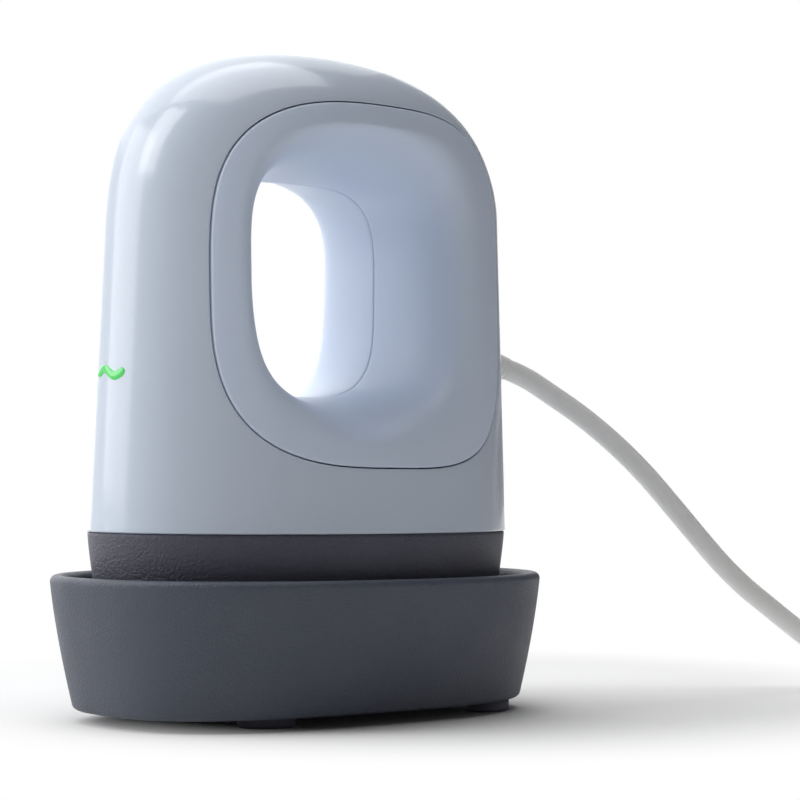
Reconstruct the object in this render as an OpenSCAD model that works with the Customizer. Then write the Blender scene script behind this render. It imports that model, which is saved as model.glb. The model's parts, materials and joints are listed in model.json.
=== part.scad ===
// Mini handheld heat press with its resting tray, in millimetres.
// X runs along the press: the front with the heat indicator is at -X and the
// cord leaves at +X. Y runs across it and Z is up. The origin lies on the
// surface that the feet stand on, under the middle of the tray.

/* [Outer shell] */
// Length of the shell at its lower edge
body_l = 100; // [91:1:108]
// Width of the shell at its lower edge
body_w = 60; // [55:1:70]
// Height of the shell above its lower edge
body_h = 99.5; // [94:0.5:115]
// Height of the shell's lower edge above the surface
body_z = 38.4; // [36:0.2:44]
// Draft of the front and rear faces, per millimetre of height
end_draft = 0.04; // [0:0.005:0.08]
// Draft of the side faces, per millimetre of height
side_draft = 0.02; // [0:0.005:0.05]
// Roundness of the plan outline, 2 is an ellipse
body_power = 2.05; // [1.9:0.05:2.6]
// Height where the front face starts to arch over
front_arch_h = 58; // [40:1:75]
// Roundness of the front shoulder
front_power = 3.0; // [1.8:0.1:3.5]
// Height where the rear face starts to arch over
rear_arch_h = 67.5; // [56:0.5:80]
// Roundness of the rear shoulder
rear_power = 2.0; // [1.6:0.1:3]
// Height where the side faces start to arch over
side_arch_h = 80.5; // [60:0.5:84]
// Roundness of the arch across the top
side_power = 2.35; // [1.8:0.05:3]
// Wall of the shell
shell_wall = 2.0; // [1.6:0.1:2.6]

/* [Grip inserts] */
// Half length of the seam between shell and insert
seam_a = 38; // [34:0.5:41]
// Half height of the seam
seam_b = 36.8; // [33:0.2:38]
// Height of the seam's middle above the shell's lower edge
seam_h = 49.8; // [46:0.2:52]
// Roundness of the seam
seam_power = 3.3; // [2.4:0.1:4]
// Half length of the hand hole at its narrowest
hole_a = 22.3; // [18:0.1:25]
// Half height of the hand hole at its narrowest
hole_b = 22.4; // [18:0.1:25]
// Distance of the hand hole's middle in front of the seam's
hole_shift = 4.3; // [0:0.1:6]
// Height of the hand hole's middle above the shell's lower edge
hole_h = 50.5; // [48:0.1:53]
// Roundness of the hand hole
hole_power = 3.7; // [2.4:0.1:4.5]
// Width of the flat band between the seam and the scoop
band_w = 4.2; // [2.5:0.1:5]
// Fullness of the scoop in front of the hole, 2 is an ellipse
scoop_front_power = 2.6; // [1.6:0.1:4.5]
// Fullness of the scoop behind the hole
scoop_rear_power = 4.2; // [1.6:0.1:4.5]
// Fullness of the scoop above and below the hole
scoop_end_power = 1.5; // [1.2:0.1:3]
// Extra fullness in the two lower corners
scoop_corner_power = 1.2; // [0:0.1:2]
// Share of the scoop's reach that is a plain slope, in front of and behind the hole
scoop_slope = 0.1; // [0:0.05:0.3]
// Wall of the inserts
insert_wall = 2.0; // [1.6:0.1:2.4]
// Gap in the seam
seam_gap = 0.25; // [0.15:0.05:0.3]

/* [Skirt and heat plate] */
// Height of the skirt
skirt_h = 25; // [22:0.5:26]
// Clearance between the skirt's foot and the heat plate
skirt_clear = 0.8; // [0.5:0.1:1.2]
// Step from the shell in to the skirt
skirt_step = 0.3; // [0:0.05:0.5]
// Wall of the skirt
skirt_wall = 2.0; // [1.6:0.1:2.4]
// Length of the heat plate's working face
plate_l = 82.6; // [76:0.2:84]
// Width of the heat plate's working face
plate_w = 48.8; // [44:0.2:49.6]
// Thickness of the working slab
plate_t = 5; // [4:0.5:6]
// Thickness of the block that holds the heating element
block_t = 7; // [6.8:0.1:8]
// Diameter of the sheathed heating element
element_d = 6.5; // [5.5:0.1:6.6]
// Distance between the element's two legs
element_gap = 24; // [20:0.5:26]
// Thickness of the element's clamp plate
clamp_t = 1.2; // [0.8:0.1:1.6]
// Thickness of the insulation pad
pad_t = 11; // [8:0.5:12]
// Thickness of the deck that carries the inner parts
deck_t = 3; // [2.4:0.1:4]
// Diameter of the plate screws' shanks
screw_d = 3; // [2.5:0.1:3.5]

/* [Inner parts] */
// Length of the control board
board_l = 62; // [56:1:64]
// Width of the control board
board_w = 32; // [28:1:34]
// Thickness of the circuit boards
board_t = 1.6; // [1.2:0.2:2]
// Height of the control board's standoffs
standoff_h = 4; // [3.5:0.5:6]
// Diameter of the thermal fuse
fuse_d = 4; // [3.5:0.1:5]
// Diameter of the thermistor's probe
probe_d = 2.4; // [2:0.1:3]

/* [Button and indicator] */
// Diameter of the power button's cap
button_d = 11; // [9:0.5:12]
// Height of the button's middle above the shell's lower edge
button_h = 64.6; // [62:0.2:68]
// How far the button travels when it is pressed
button_travel = 0.8; // [0.5:0.1:1]
// Running clearance round the button
button_clear = 0.1; // [0.08:0.01:0.2]
// Length of the wave-shaped indicator
wave_l = 7.6; // [6:0.1:11]
// Height of the wave from its middle line
wave_a = 0.7; // [0.5:0.1:1.2]
// Width of the wave's stroke
wave_w = 1.8; // [1.4:0.1:2.2]
// Height of the wave's middle above the shell's lower edge
wave_h = 31.6; // [28:0.2:36]
// How far the indicator stands out of the shell
wave_proud = 0.3; // [0.1:0.1:0.5]

/* [Resting tray] */
// Length of the tray's rim
rim_l = 112.2; // [108:0.2:120]
// Width of the tray's rim
rim_w = 75; // [70:0.5:84]
// Roundness of the rim
rim_power = 2.22; // [2:0.02:2.6]
// Height of the rim above the surface
rim_z = 29.6; // [27:0.2:31]
// Length of the tray's underside
foot_l = 101.6; // [94:0.2:104]
// Width of the tray's underside
foot_w = 56.8; // [52:0.2:60]
// Roundness of the underside
foot_power = 2.7; // [2.2:0.1:3]
// Wall of the tray
tray_wall = 3; // [2.6:0.1:3.2]
// Thickness of the tray's floor
floor_t = 3.5; // [2.4:0.1:3.8]
// Height of the feet
foot_h = 2.5; // [2:0.1:4]
// Length of a foot, which lies along the tray's curve
pad_l = 11.8; // [10:0.2:13]
// Width of a foot
pad_w = 8.8; // [7:0.2:10]
// Thickness of the rest under the heat plate
rest_t = 3; // [2:0.2:4]

/* [Cord] */
// Diameter of the mains lead
cord_d = 4.8; // [4.4:0.1:5.2]
// Height of the lead's exit above the shell's lower edge
exit_h = 37.4; // [36:0.2:40]
// Length of the strain relief, from end to end
relief_l = 22; // [20:0.5:24]
// Radius of the bend in the strain relief
relief_bend = 30; // [24:1:60]
// Gap between the turns of the coil
turn_gap = 1.1; // [1.1:0.1:1.6]
// Height from one layer of the coil to the next, less the lead's diameter
layer_gap = 0.8; // [0.7:0.1:1.2]
// Thickness of the tie round the coil
tie_t = 0.9; // [0.7:0.1:1.2]
// Length of the plug's body
plug_l = 30; // [26:1:36]
// Width of the plug's body
plug_w = 22; // [19:0.5:24]
// Height of the plug's body
plug_t = 15; // [13:0.5:16]

/* [Hidden] */

// ---- colours ----
shell_color = [0.80, 0.84, 0.89];
skirt_color = [0.28, 0.28, 0.31];
tray_color = [0.34, 0.36, 0.40];
steel_color = [0.72, 0.73, 0.75];
cord_color = [0.86, 0.86, 0.85];

// ---- steps of the curved surfaces ----
side_steps = 5;
arch_steps = 9;
base_steps = 14;
skin_steps = 8;
ring_steps = 64;
insert_columns = 52;
lip_steps = 8;

// ---- small sizes and clearances that several pieces share ----
plate_power = 2.6;
ledge_w = 3;
deck_clear = 0.6;
boss_d = 7;
slot_l = 14;
post_t = 3;
post_w = 14;
rib_y = 3;
rib_t = 2;
led_d = 3;
bezel_d = button_d + 3;
stem_d = 3.4;
switch_t = 3.6;
switch_bore = 1.6;
flange_t = 1;
relief_root_d = 8.4;
rest_gap = 0.6;

// ---- heights above the surface ----
tray_z = foot_h;
floor_z = tray_z + floor_t;
plate_z = floor_z + rest_t;
block_z = plate_z + plate_t;
clamp_z = block_z + block_t;
pad_z = clamp_z + clamp_t;
deck_z = body_z - deck_t;
board_z = body_z + standoff_h;
exit_z = body_z + exit_h;
wave_z = body_z + wave_h;
button_z = body_z + button_h;

// ---- middles of the seam and the hand hole, in the plane of X and Z ----
seam_mid = [0.4, body_z + seam_h];
hole_mid = [0.4 - hole_shift, body_z + hole_h];

// ---- helpers ----

// Power of a signed number that keeps the sign
function signed_pow(v, e) = sign(v) * pow(abs(v), e);

// One level of a superellipse outline, run anticlockwise seen from above
function ring(a, b, n, z, count = ring_steps) = [
    for (i = [0 : count - 1])
        let (t = 360 * i / count)
        [a * signed_pow(cos(t), 2 / n), b * signed_pow(sin(t), 2 / n), z]
];

// The same outline as a flat list of points
function outline(a, b, n, count = ring_steps) =
    [for (p = ring(a, b, n, 0, count)) [p[0], p[1]]];

// Distance from the middle of a superellipse to its edge along a unit direction
function polar_r(d, a, b, n) =
    pow(pow(abs(d[0]) / a, n) + pow(abs(d[1]) / b, n), -1 / n);

// Two triangles for the side a, b, c, d
function side(a, b, c, d) = [[a, b, c], [a, c, d]];

// Solid through stacked rings with as many points each. An open stack has a
// flat cap on its first and last ring, a closed one joins them like a tyre.
module stack(rings, closed = false) {
    n = len(rings[0]);
    m = len(rings);
    rows = closed ? m : m - 1;
    walls = [
        for (k = [0 : rows - 1], i = [0 : n - 1])
            let (k2 = (k + 1) % m, i2 = (i + 1) % n)
            each side(k * n + i, k2 * n + i, k2 * n + i2, k * n + i2)
    ];
    caps = closed ? [] : [
        [for (i = [0 : n - 1]) i],
        [for (i = [n - 1 : -1 : 0]) (m - 1) * n + i]
    ];
    polyhedron(points = [for (r = rings) each r], faces = concat(walls, caps), convexity = 6);
}

// ---- form of the shell; s is the depth below its outer surface ----

function arch(h, start, top, power) =
    pow(max(0, 1 - pow(min(1, max(0, (h - start) / (top - start))), power)), 1 / power);

function front_edge(h, s) =
    (body_l / 2 - s - end_draft * h) * arch(h, front_arch_h, body_h - s, front_power);

function rear_edge(h, s) =
    (body_l / 2 - s - end_draft * h) * arch(h, rear_arch_h, body_h - s, rear_power);

function half_width(h, s) =
    (body_w / 2 - s - side_draft * h) * arch(h, side_arch_h, body_h - s, side_power);

// Half width of the shell at a point of the plane of X and Z
function skin_y(x, z, s) =
    let (
        h = z - body_z,
        front = front_edge(h, s),
        rear = rear_edge(h, s),
        reach = max(0.001, (front + rear) / 2),
        u = min(1, abs(x - (rear - front) / 2) / reach)
    )
    half_width(h, s) * pow(max(0, 1 - pow(u, body_power)), 1 / body_power);

// Outline of the shell seen from the side: up the front, over the top, down
// the rear and back along the lower edge
function side_outline(s) = concat(
    [for (k = [0 : side_steps - 1])
        let (h = front_arch_h * k / side_steps)
        [-front_edge(h, s), body_z + h]],
    [for (k = [0 : arch_steps - 1])
        let (
            t = 90 * k / arch_steps,
            h = front_arch_h + (body_h - s - front_arch_h) * pow(sin(t), 2 / front_power)
        )
        [-front_edge(h, s), body_z + h]],
    [for (k = [0 : arch_steps - 1])
        let (
            t = 90 - 90 * k / arch_steps,
            h = rear_arch_h + (body_h - s - rear_arch_h) * pow(sin(t), 2 / rear_power)
        )
        [rear_edge(h, s), body_z + h]],
    [for (k = [0 : side_steps - 1])
        let (h = rear_arch_h * (1 - k / side_steps))
        [rear_edge(h, s), body_z + h]],
    [for (k = [0 : base_steps - 1]) [(body_l / 2 - s) * cos(180 * k / base_steps), body_z]]
);

// Columns of the outline up to here lie on the middle plane
last_spine = 2 * side_steps + 2 * arch_steps;

// Point of the seam that lies towards a point of the outline
function seam_point(p, grow = 0) =
    let (v = p - seam_mid, d = v / norm(v))
    seam_mid + d * (polar_r(d, seam_a, seam_b, seam_power) + grow);

// Points from the seam out to the outline, on the near side
function skin_column(p, s, spine) =
    let (q = seam_point(p))
    [for (i = [0 : skin_steps])
        let (f = sin(90 * i / skin_steps), c = q + (p - q) * f)
        [c[0], spine && i == skin_steps ? 0 : -skin_y(c[0], c[1], s), c[1]]];

module shell_skin() {
    outer = side_outline(0);
    inner = side_outline(shell_wall);
    count = len(outer);
    rows = 2 * (skin_steps + 1);
    near = [
        for (j = [0 : count - 1])
            let (
                spine = j <= last_spine,
                hidden = skin_column(inner[j], shell_wall, spine),
                shown = skin_column(outer[j], 0, spine)
            )
            each concat([for (i = [skin_steps : -1 : 0]) hidden[i]], shown)
    ];
    far = [for (p = near) [p[0], -p[1], p[2]]];
    total = count * rows;
    // Both halves share the points on the middle plane
    function near_at(j, i) = (j % count) * rows + i;
    function far_at(j, i) =
        let (c = j % count)
        c <= last_spine && (i == 0 || i == rows - 1) ? near_at(c, i) : total + near_at(c, i);
    near_walls = [
        for (j = [0 : count - 1], i = [0 : rows - 2])
            each side(near_at(j, i), near_at(j, i + 1), near_at(j + 1, i + 1), near_at(j + 1, i))
    ];
    far_walls = [
        for (j = [0 : count - 1], i = [0 : rows - 2])
            each side(far_at(j, i), far_at(j + 1, i), far_at(j + 1, i + 1), far_at(j, i + 1))
    ];
    near_edge = [
        for (j = [last_spine : count - 1])
            each side(near_at(j, rows - 1), near_at(j, 0), near_at(j + 1, 0), near_at(j + 1, rows - 1))
    ];
    far_edge = [
        for (j = [last_spine : count - 1])
            each side(far_at(j, rows - 1), far_at(j + 1, rows - 1), far_at(j + 1, 0), far_at(j, 0))
    ];
    polyhedron(
        points = concat(near, far),
        faces = concat(near_walls, far_walls, near_edge, far_edge),
        convexity = 8
    );
}

// ---- form of a grip insert ----

// Fullness of the scoop towards an angle round the hole
function scoop_power(t) =
    (cos(t) < 0 ? scoop_front_power : scoop_rear_power) * pow(cos(t), 2)
    + scoop_end_power * pow(sin(t), 2)
    + (sin(t) < 0 ? scoop_corner_power * pow(sin(2 * t), 2) : 0);

// Point of the insert's surface at depth s: row runs from 0 at the throat, over
// the scoop to 1 at the flat band, and 2 is the seam
function insert_point(t, row, s) =
    let (
        d = [cos(t), sin(t)],
        throat = hole_mid + d * (polar_r(d, hole_a, hole_b, hole_power) + s),
        edge = seam_point(throat, -seam_gap),
        span = norm(edge - throat),
        e = 2 / scoop_power(t),
        q = 90 * min(1, row),
        slope = scoop_slope * pow(cos(t), 2),
        rise = (1 - slope) * (1 - pow(cos(q), e)) + slope * pow(sin(q), e),
        reach = row > 1 ? span : (span - band_w) * rise,
        c = throat + (edge - throat) * reach / span
    )
    [c[0], -skin_y(c[0], c[1], s) * pow(sin(q), e), c[1]];

module grip_insert() {
    stations = concat([for (k = [0 : lip_steps]) k / lip_steps], [2]);
    front = [
        for (row = stations)
            [for (j = [0 : insert_columns - 1]) insert_point(360 * j / insert_columns, row, 0)]
    ];
    back = [
        for (i = [len(stations) - 1 : -1 : 0])
            [for (j = [0 : insert_columns - 1])
                insert_point(360 * j / insert_columns, stations[i], insert_wall)]
    ];
    stack(concat(front, back), closed = true);
}

// ---- parts of the press ----

module outer_shell() {
    color(shell_color)
    difference() {
        shell_skin();
        translate([body_l / 2 - 12, 0, exit_z])
            rotate([0, 90, 0])
            cylinder(d = relief_root_d + 0.4, h = 20, $fn = 32);
        translate([body_l / 2 - 12, 0, button_z])
            rotate([0, 90, 0])
            cylinder(d = bezel_d + 0.3, h = 20, $fn = 40);
        translate([-body_l / 2 - 2, 0, wave_z])
            rotate([90, 0, 90])
            linear_extrude(8)
            polygon(wave_outline(0.1));
    }
}

module grip_insert_left() {
    color(shell_color)
    grip_insert();
}

module grip_insert_right() {
    color(shell_color)
    mirror([0, 1, 0])
    grip_insert();
}

// The skirt draws in from just inside the shell to just outside the heat plate
function skirt_size(half_shell, half_plate, depth) =
    let (top = half_shell - skirt_step, foot = half_plate + skirt_clear + skirt_wall)
    top + (foot - top) * pow(depth / skirt_h, 1.4);

function skirt_ring(depth, s) =
    ring(
        skirt_size(body_l / 2, plate_l / 2, depth) - s,
        skirt_size(body_w / 2, plate_w / 2, depth) - s,
        body_power + (plate_power - body_power) * pow(depth / skirt_h, 3),
        body_z - depth
    );

skirt_rows = 6;

module skirt() {
    outside = [for (k = [skirt_rows : -1 : 0]) skirt_ring(skirt_h * k / skirt_rows, 0)];
    inside = [
        skirt_ring(0, skirt_wall),
        skirt_ring(deck_t, skirt_wall),
        skirt_ring(deck_t, skirt_wall + ledge_w),
        skirt_ring(deck_t + 2, skirt_wall + ledge_w),
        for (k = [3 : skirt_rows]) skirt_ring(skirt_h * k / skirt_rows, skirt_wall)
    ];
    color(skirt_color)
    stack(concat(outside, inside), closed = true);
}

element_bend = element_gap / 2;
element_leg = plate_l - 58.6;

// Plan of the hairpin that the element follows, as wide as w
module hairpin(w) {
    for (s = [-1, 1])
        translate([-element_leg / 2, s * element_bend - w / 2])
        square([element_leg + 8, w]);
    translate([-element_leg / 2, 0])
        difference() {
            circle(r = element_bend + w / 2, $fn = 72);
            circle(r = element_bend - w / 2, $fn = 72);
            translate([0, -element_bend * 2])
                square([element_bend * 4, element_bend * 4]);
        }
}

boss_x = plate_l / 2 - 10.3;
boss_y = 8;
module boss_places() {
    for (sx = [-1, 1], sy = [-1, 1])
        translate([sx * boss_x, sy * boss_y, 0])
        children();
}

module heat_plate() {
    color([0.20, 0.20, 0.22])
    difference() {
        union() {
            translate([0, 0, plate_z])
                linear_extrude(plate_t)
                polygon(outline(plate_l / 2, plate_w / 2, plate_power));
            translate([0, 0, block_z - 0.01])
                linear_extrude(block_t + 0.01)
                polygon(outline(plate_l / 2 - 2.5, plate_w / 2 - 2.5, plate_power));
        }
        translate([0, 0, clamp_z - element_d - 0.1])
            linear_extrude(element_d + 1)
            hairpin(element_d + 0.2);
        translate([0, 0, clamp_z - 6])
            boss_places()
            cylinder(d = screw_d, h = 8, $fn = 24);
    }
}

module heating_element() {
    leg_z = clamp_z - 0.1 - element_d / 2;
    color(steel_color)
    union() {
        for (s = [-1, 1])
            translate([-element_leg / 2, s * element_bend, leg_z])
            rotate([0, 90, 0])
            cylinder(d = element_d, h = element_leg + 7.5, $fn = 32);
        translate([-element_leg / 2, 0, leg_z])
            rotate([0, 0, 90])
            rotate_extrude(angle = 180, $fn = 72)
            translate([element_bend, 0])
            circle(d = element_d, $fn = 32);
    }
}

clamp_l = plate_l - 12.6;
clamp_w = plate_w - 10.8;

module element_clamp() {
    color(steel_color)
    translate([0, 0, clamp_z])
    linear_extrude(clamp_t)
    difference() {
        polygon(outline(clamp_l / 2, clamp_w / 2, 3.2));
        for (sx = [-1, 1], sy = [-1, 1])
            translate([sx * boss_x, sy * boss_y])
            circle(d = screw_d + 0.3, $fn = 24);
        for (sx = [-1, 1])
            translate([sx * 15, 0])
            circle(d = 9, $fn = 32);
    }
}

module insulation_pad() {
    color([0.93, 0.92, 0.88])
    translate([0, 0, pad_z])
    difference() {
        linear_extrude(pad_t)
            polygon(outline(clamp_l / 2 + 2, clamp_w / 2 + 1, 3.0));
        boss_places()
            translate([0, 0, -1])
            cylinder(d = boss_d + 0.4, h = pad_t + 2, $fn = 32);
        translate([-slot_l / 2 - 10, -fuse_d / 2 - 0.2, -1])
            cube([slot_l, fuse_d + 0.4, pad_t + 2]);
        translate([8, -probe_d / 2 - 0.2, -1])
            cube([slot_l, probe_d + 0.4, pad_t + 2]);
    }
}

module thermal_fuse() {
    color([0.80, 0.72, 0.55])
    translate([-10 - (slot_l - 1) / 2, 0, pad_z + fuse_d / 2])
    rotate([0, 90, 0])
    union() {
        cylinder(d = fuse_d, h = slot_l - 4, $fn = 32);
        translate([0, 0, slot_l - 4.5])
            cylinder(d = 1, h = 3, $fn = 16);
    }
}

module thermistor() {
    color([0.75, 0.30, 0.20])
    translate([8.5, 0, pad_z + probe_d / 2])
    rotate([0, 90, 0])
    union() {
        cylinder(d = probe_d, h = 7, $fn = 24);
        translate([0, 0, 6.5])
            cylinder(d = 1, h = 6, $fn = 16);
    }
}

deck_l = body_l - 2 * (skirt_step + skirt_wall + deck_clear);
deck_w = body_w - 2 * (skirt_step + skirt_wall + deck_clear);
lens_back = front_edge(wave_h, shell_wall) - 2.5;
bezel_back = rear_edge(button_h, shell_wall) - 0.8;
front_post_x = 6.2 - lens_back;
rear_post_x = bezel_back - 8.6;
front_post_h = wave_h + 9;
rear_post_h = button_h + 6;

module chassis() {
    color([0.15, 0.15, 0.16])
    difference() {
        union() {
            translate([0, 0, deck_z])
                linear_extrude(deck_t)
                polygon(outline(deck_l / 2, deck_w / 2, body_power));
            translate([0, 0, pad_z])
                boss_places()
                cylinder(d = boss_d, h = deck_z - pad_z + 1, $fn = 32);
            translate([0, 0, body_z - 0.01])
                standoff_places()
                cylinder(d = 5, h = standoff_h + 0.01, $fn = 24);
            translate([front_post_x, -post_w / 2, body_z - 0.5])
                cube([post_t, post_w, front_post_h + 0.5]);
            translate([rear_post_x, -post_w / 2, body_z - 0.5])
                cube([post_t, post_w, rear_post_h + 0.5]);
            for (sy = [-1, 1]) {
                translate([front_post_x + post_t, sy * rib_y - rib_t / 2, body_z - 0.5])
                    rotate([90, 0, 0])
                    mirror([0, 0, 1])
                    linear_extrude(rib_t)
                    polygon([[-1, 0], [3, 0], [0, 20], [-1, 20]]);
                translate([rear_post_x + post_t, sy * rib_y - rib_t / 2, body_z - 0.5])
                    rotate([90, 0, 0])
                    mirror([0, 0, 1])
                    linear_extrude(rib_t)
                    polygon([[-1, 0], [5, 0], [0, 26], [-1, 26]]);
            }
        }
        translate([0, 0, pad_z - 1])
            boss_places()
            cylinder(d = screw_d + 0.3, h = deck_t + deck_z - pad_z + 3, $fn = 24);
        translate([rear_post_x - 2, 0, exit_z])
            rotate([0, 90, 0])
            cylinder(d = cord_d + 2.2, h = post_t + 8, $fn = 32);
        for (sy = [-1, 1])
            translate([0, sy * 4, deck_z - 1])
            cylinder(d = 5, h = deck_t + 2, $fn = 24);
    }
}

module plate_screws() {
    color(steel_color)
    boss_places()
    union() {
        translate([0, 0, clamp_z - 5])
            cylinder(d = screw_d - 0.1, h = body_z - clamp_z + 5.5, $fn = 24);
        translate([0, 0, body_z])
            cylinder(d = screw_d * 1.9, h = screw_d * 0.6, $fn = 24);
    }
}

standoff_x = board_l / 2 - 4;
standoff_y = board_w / 2 - 3;
module standoff_places() {
    for (sx = [-1, 1], sy = [-1, 1])
        translate([sx * standoff_x, sy * standoff_y, 0])
        children();
}

module control_board() {
    color([0.10, 0.35, 0.20])
    translate([0, 0, board_z])
    linear_extrude(board_t)
    difference() {
        square([board_l, board_w], center = true);
        for (sx = [-1, 1], sy = [-1, 1])
            translate([sx * standoff_x, sy * standoff_y])
            circle(d = 2.4, $fn = 20);
    }
}

module board_parts() {
    top = board_z + board_t;
    // Relay
    color([0.12, 0.28, 0.55])
    translate([-24, -11, top])
        cube([19, 15, 13]);
    // Film capacitor
    color([0.85, 0.72, 0.20])
    translate([-1, -12, top])
        cube([13, 6, 11]);
    // Transformer
    color([0.85, 0.80, 0.35])
    translate([-1, -3, top])
        cube([15, 13, 11]);
    // Reservoir capacitor
    color([0.15, 0.15, 0.18])
    translate([20, -7, top])
        cylinder(d = 8, h = 12, $fn = 32);
    // Terminal block
    color([0.20, 0.55, 0.30])
    translate([18, 2, top])
        cube([10, 8, 9]);
}

module led_board() {
    color([0.10, 0.35, 0.20])
    translate([front_post_x - board_t, -post_w / 2, wave_z - 9])
    cube([board_t, post_w, 18]);
}

module led() {
    color([0.70, 0.95, 0.75])
    translate([front_post_x - board_t, 0, wave_z])
    rotate([0, -90, 0])
    union() {
        cylinder(d = led_d + 0.8, h = 1, $fn = 24);
        cylinder(d = led_d, h = lens_back + front_post_x - board_t - 0.3, $fn = 24);
    }
}

// Middle line of the wave, seen from the front; u runs from 0 to 1 along it
wave_steps = 12;
function wave_line(u) = [wave_l * (u - 0.5), -wave_a * sin(360 * u)];

// Unit direction across the wave's stroke
function wave_across(u) =
    let (slope = -wave_a * 2 * PI * cos(360 * u) / wave_l)
    [-slope, 1] / norm([-slope, 1]);

// Stations along the wave: place, unit direction across, half width of the
// stroke. The two ends are rounded.
wave_stations = concat(
    [for (t = [75, 50, 25])
        [wave_line(0) - cross_back(wave_across(0)) * wave_w / 2 * sin(t), wave_across(0), wave_w / 2 * cos(t)]],
    [for (k = [0 : wave_steps])
        [wave_line(k / wave_steps), wave_across(k / wave_steps), wave_w / 2]],
    [for (t = [25, 50, 75])
        [wave_line(1) + cross_back(wave_across(1)) * wave_w / 2 * sin(t), wave_across(1), wave_w / 2 * cos(t)]]
);
function cross_back(v) = [v[1], -v[0]];

// Outline of the wave, grown all round
function wave_outline(grow) = concat(
    [for (s = wave_stations) s[0] - s[1] * (s[2] + grow)],
    [for (i = [len(wave_stations) - 1 : -1 : 0])
        let (s = wave_stations[i])
        s[0] + s[1] * (s[2] + grow)]
);

// How far the shell's front lies from the middle at a point of the wave
function front_at(y, h) =
    let (front = front_edge(h, 0), rear = rear_edge(h, 0), u = min(1, abs(y) / half_width(h, 0)))
    (front + rear) / 2 * pow(1 - pow(u, body_power), 1 / body_power) - (rear - front) / 2;

module indicator_lens() {
    function spot(p, x) = [x, p[0], wave_z + p[1]];
    function face_x(p) = -front_at(p[0], wave_h + p[1]) - wave_proud;
    color([0.20, 0.90, 0.35])
    stack([
        for (s = wave_stations)
            let (low = s[0] - s[1] * s[2], high = s[0] + s[1] * s[2])
            [spot(low, face_x(low)), spot(high, face_x(high)), spot(high, -lens_back), spot(low, -lens_back)]
    ]);
}

module button_bezel() {
    front = rear_edge(button_h, 0) + 0.3;
    color([0.62, 0.66, 0.70])
    translate([bezel_back, 0, button_z])
    rotate([0, 90, 0])
    difference() {
        cylinder(d = bezel_d, h = front - bezel_back, $fn = 64);
        translate([0, 0, -1])
            cylinder(d = button_d + 2 * button_clear, h = 10, $fn = 64);
    }
}

switch_x = rear_post_x + post_t;

module power_button() {
    front = rear_edge(button_h, 0) + 0.6;
    flange_x = bezel_back - 0.2 - flange_t;
    stem_x = switch_x + switch_t - (switch_bore - button_travel - 0.2);
    color([0.72, 0.76, 0.81])
    translate([0, 0, button_z])
    rotate([0, 90, 0])
    union() {
        translate([0, 0, flange_x])
            cylinder(d = button_d, h = front - 0.6 - flange_x, $fn = 64);
        translate([0, 0, front - 0.61])
            cylinder(d1 = button_d, d2 = button_d - 2, h = 0.6, $fn = 64);
        translate([0, 0, flange_x])
            cylinder(d = button_d + 1.6, h = flange_t, $fn = 64);
        translate([0, 0, stem_x])
            cylinder(d = stem_d, h = flange_x - stem_x + 0.1, $fn = 32);
    }
}

module button_switch() {
    color([0.18, 0.18, 0.20])
    difference() {
        translate([switch_x, -3, button_z - 3])
            cube([switch_t, 6, 6]);
        translate([switch_x + switch_t - switch_bore, 0, button_z])
            rotate([0, 90, 0])
            cylinder(d = stem_d + 0.2, h = 3, $fn = 32);
    }
}

// The relief starts inside the rear post, leaves the shell straight and bends
// down under the lead's weight. Its flange sits behind the shell's wall.
relief_inner_x = rear_post_x - 1;
relief_wall_x = rear_edge(exit_h, shell_wall);
relief_free = relief_l - (relief_wall_x + shell_wall - relief_inner_x);
relief_droop = relief_free / relief_bend * 180 / PI;

// Place and heading of the relief's middle line at a length from its inner end
function relief_spot(s) =
    let (straight = relief_l - relief_free, a = max(0, s - straight) / relief_bend * 180 / PI)
    [
        relief_inner_x + min(s, straight) + relief_bend * sin(a),
        exit_z - relief_bend * (1 - cos(a)),
        a
    ];
relief_end = relief_spot(relief_l);

module strain_relief() {
    inner_r = cord_d / 2 + 1;
    root_r = relief_root_d / 2;
    flange_s = relief_wall_x - relief_inner_x;
    // Length from the inner end, radius
    profile = [
        [0, inner_r],
        [flange_s - 2.6, inner_r],
        [flange_s - 2.6, root_r + 1.2],
        [flange_s - 0.9, root_r + 1.2],
        [flange_s - 0.9, root_r],
        [flange_s + shell_wall + 0.4, root_r],
        [flange_s + shell_wall + 1.2, root_r - 0.5],
        for (k = [1 : 5]) let (u = k / 5)
            [flange_s + shell_wall + 1.2 + (relief_free - 1.2) * u,
                cord_d / 2 + 0.15 + (root_r - 0.65 - cord_d / 2) * pow(1 - u, 1.6)]
    ];
    color(cord_color)
    stack([
        for (p = profile)
            let (c = relief_spot(p[0]))
            [for (k = [0 : 31])
                let (t = 360 * k / 32)
                [c[0], 0, c[1]] + p[1] * [sin(t) * sin(c[2]), cos(t), sin(t) * cos(c[2])]]
    ]);
}

module cord_clamp() {
    color([0.15, 0.15, 0.16])
    translate([rear_post_x + post_t, 0, exit_z])
    difference() {
        translate([0, -post_w / 2, -5])
            cube([2.8, post_w, 10]);
        translate([-1, 0, 0])
            rotate([0, 90, 0])
            cylinder(d = cord_d + 2.2, h = 6, $fn = 32);
        for (sy = [-1, 1])
            translate([-1, sy * 5.6, -2.5])
            rotate([0, 90, 0])
            cylinder(d = 1.8, h = 6, $fn = 20);
    }
}

module clamp_screws() {
    color(steel_color)
    for (sy = [-1, 1])
        translate([rear_post_x + post_t, sy * 5.6, exit_z - 2.5])
        rotate([0, 90, 0])
        union() {
            cylinder(d = 1.6, h = 3, $fn = 20);
            translate([0, 0, 2.8])
                cylinder(d = 2.6, h = 0.9, $fn = 20);
        }
}

// ---- resting tray ----

// The underside lies this far to the rear of the rim
tray_shift = 0.5;

// How far the tray has drawn in, from 0 at the rim to 1 at the underside
function tray_taper(u) = pow(u, 1.2);

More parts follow.
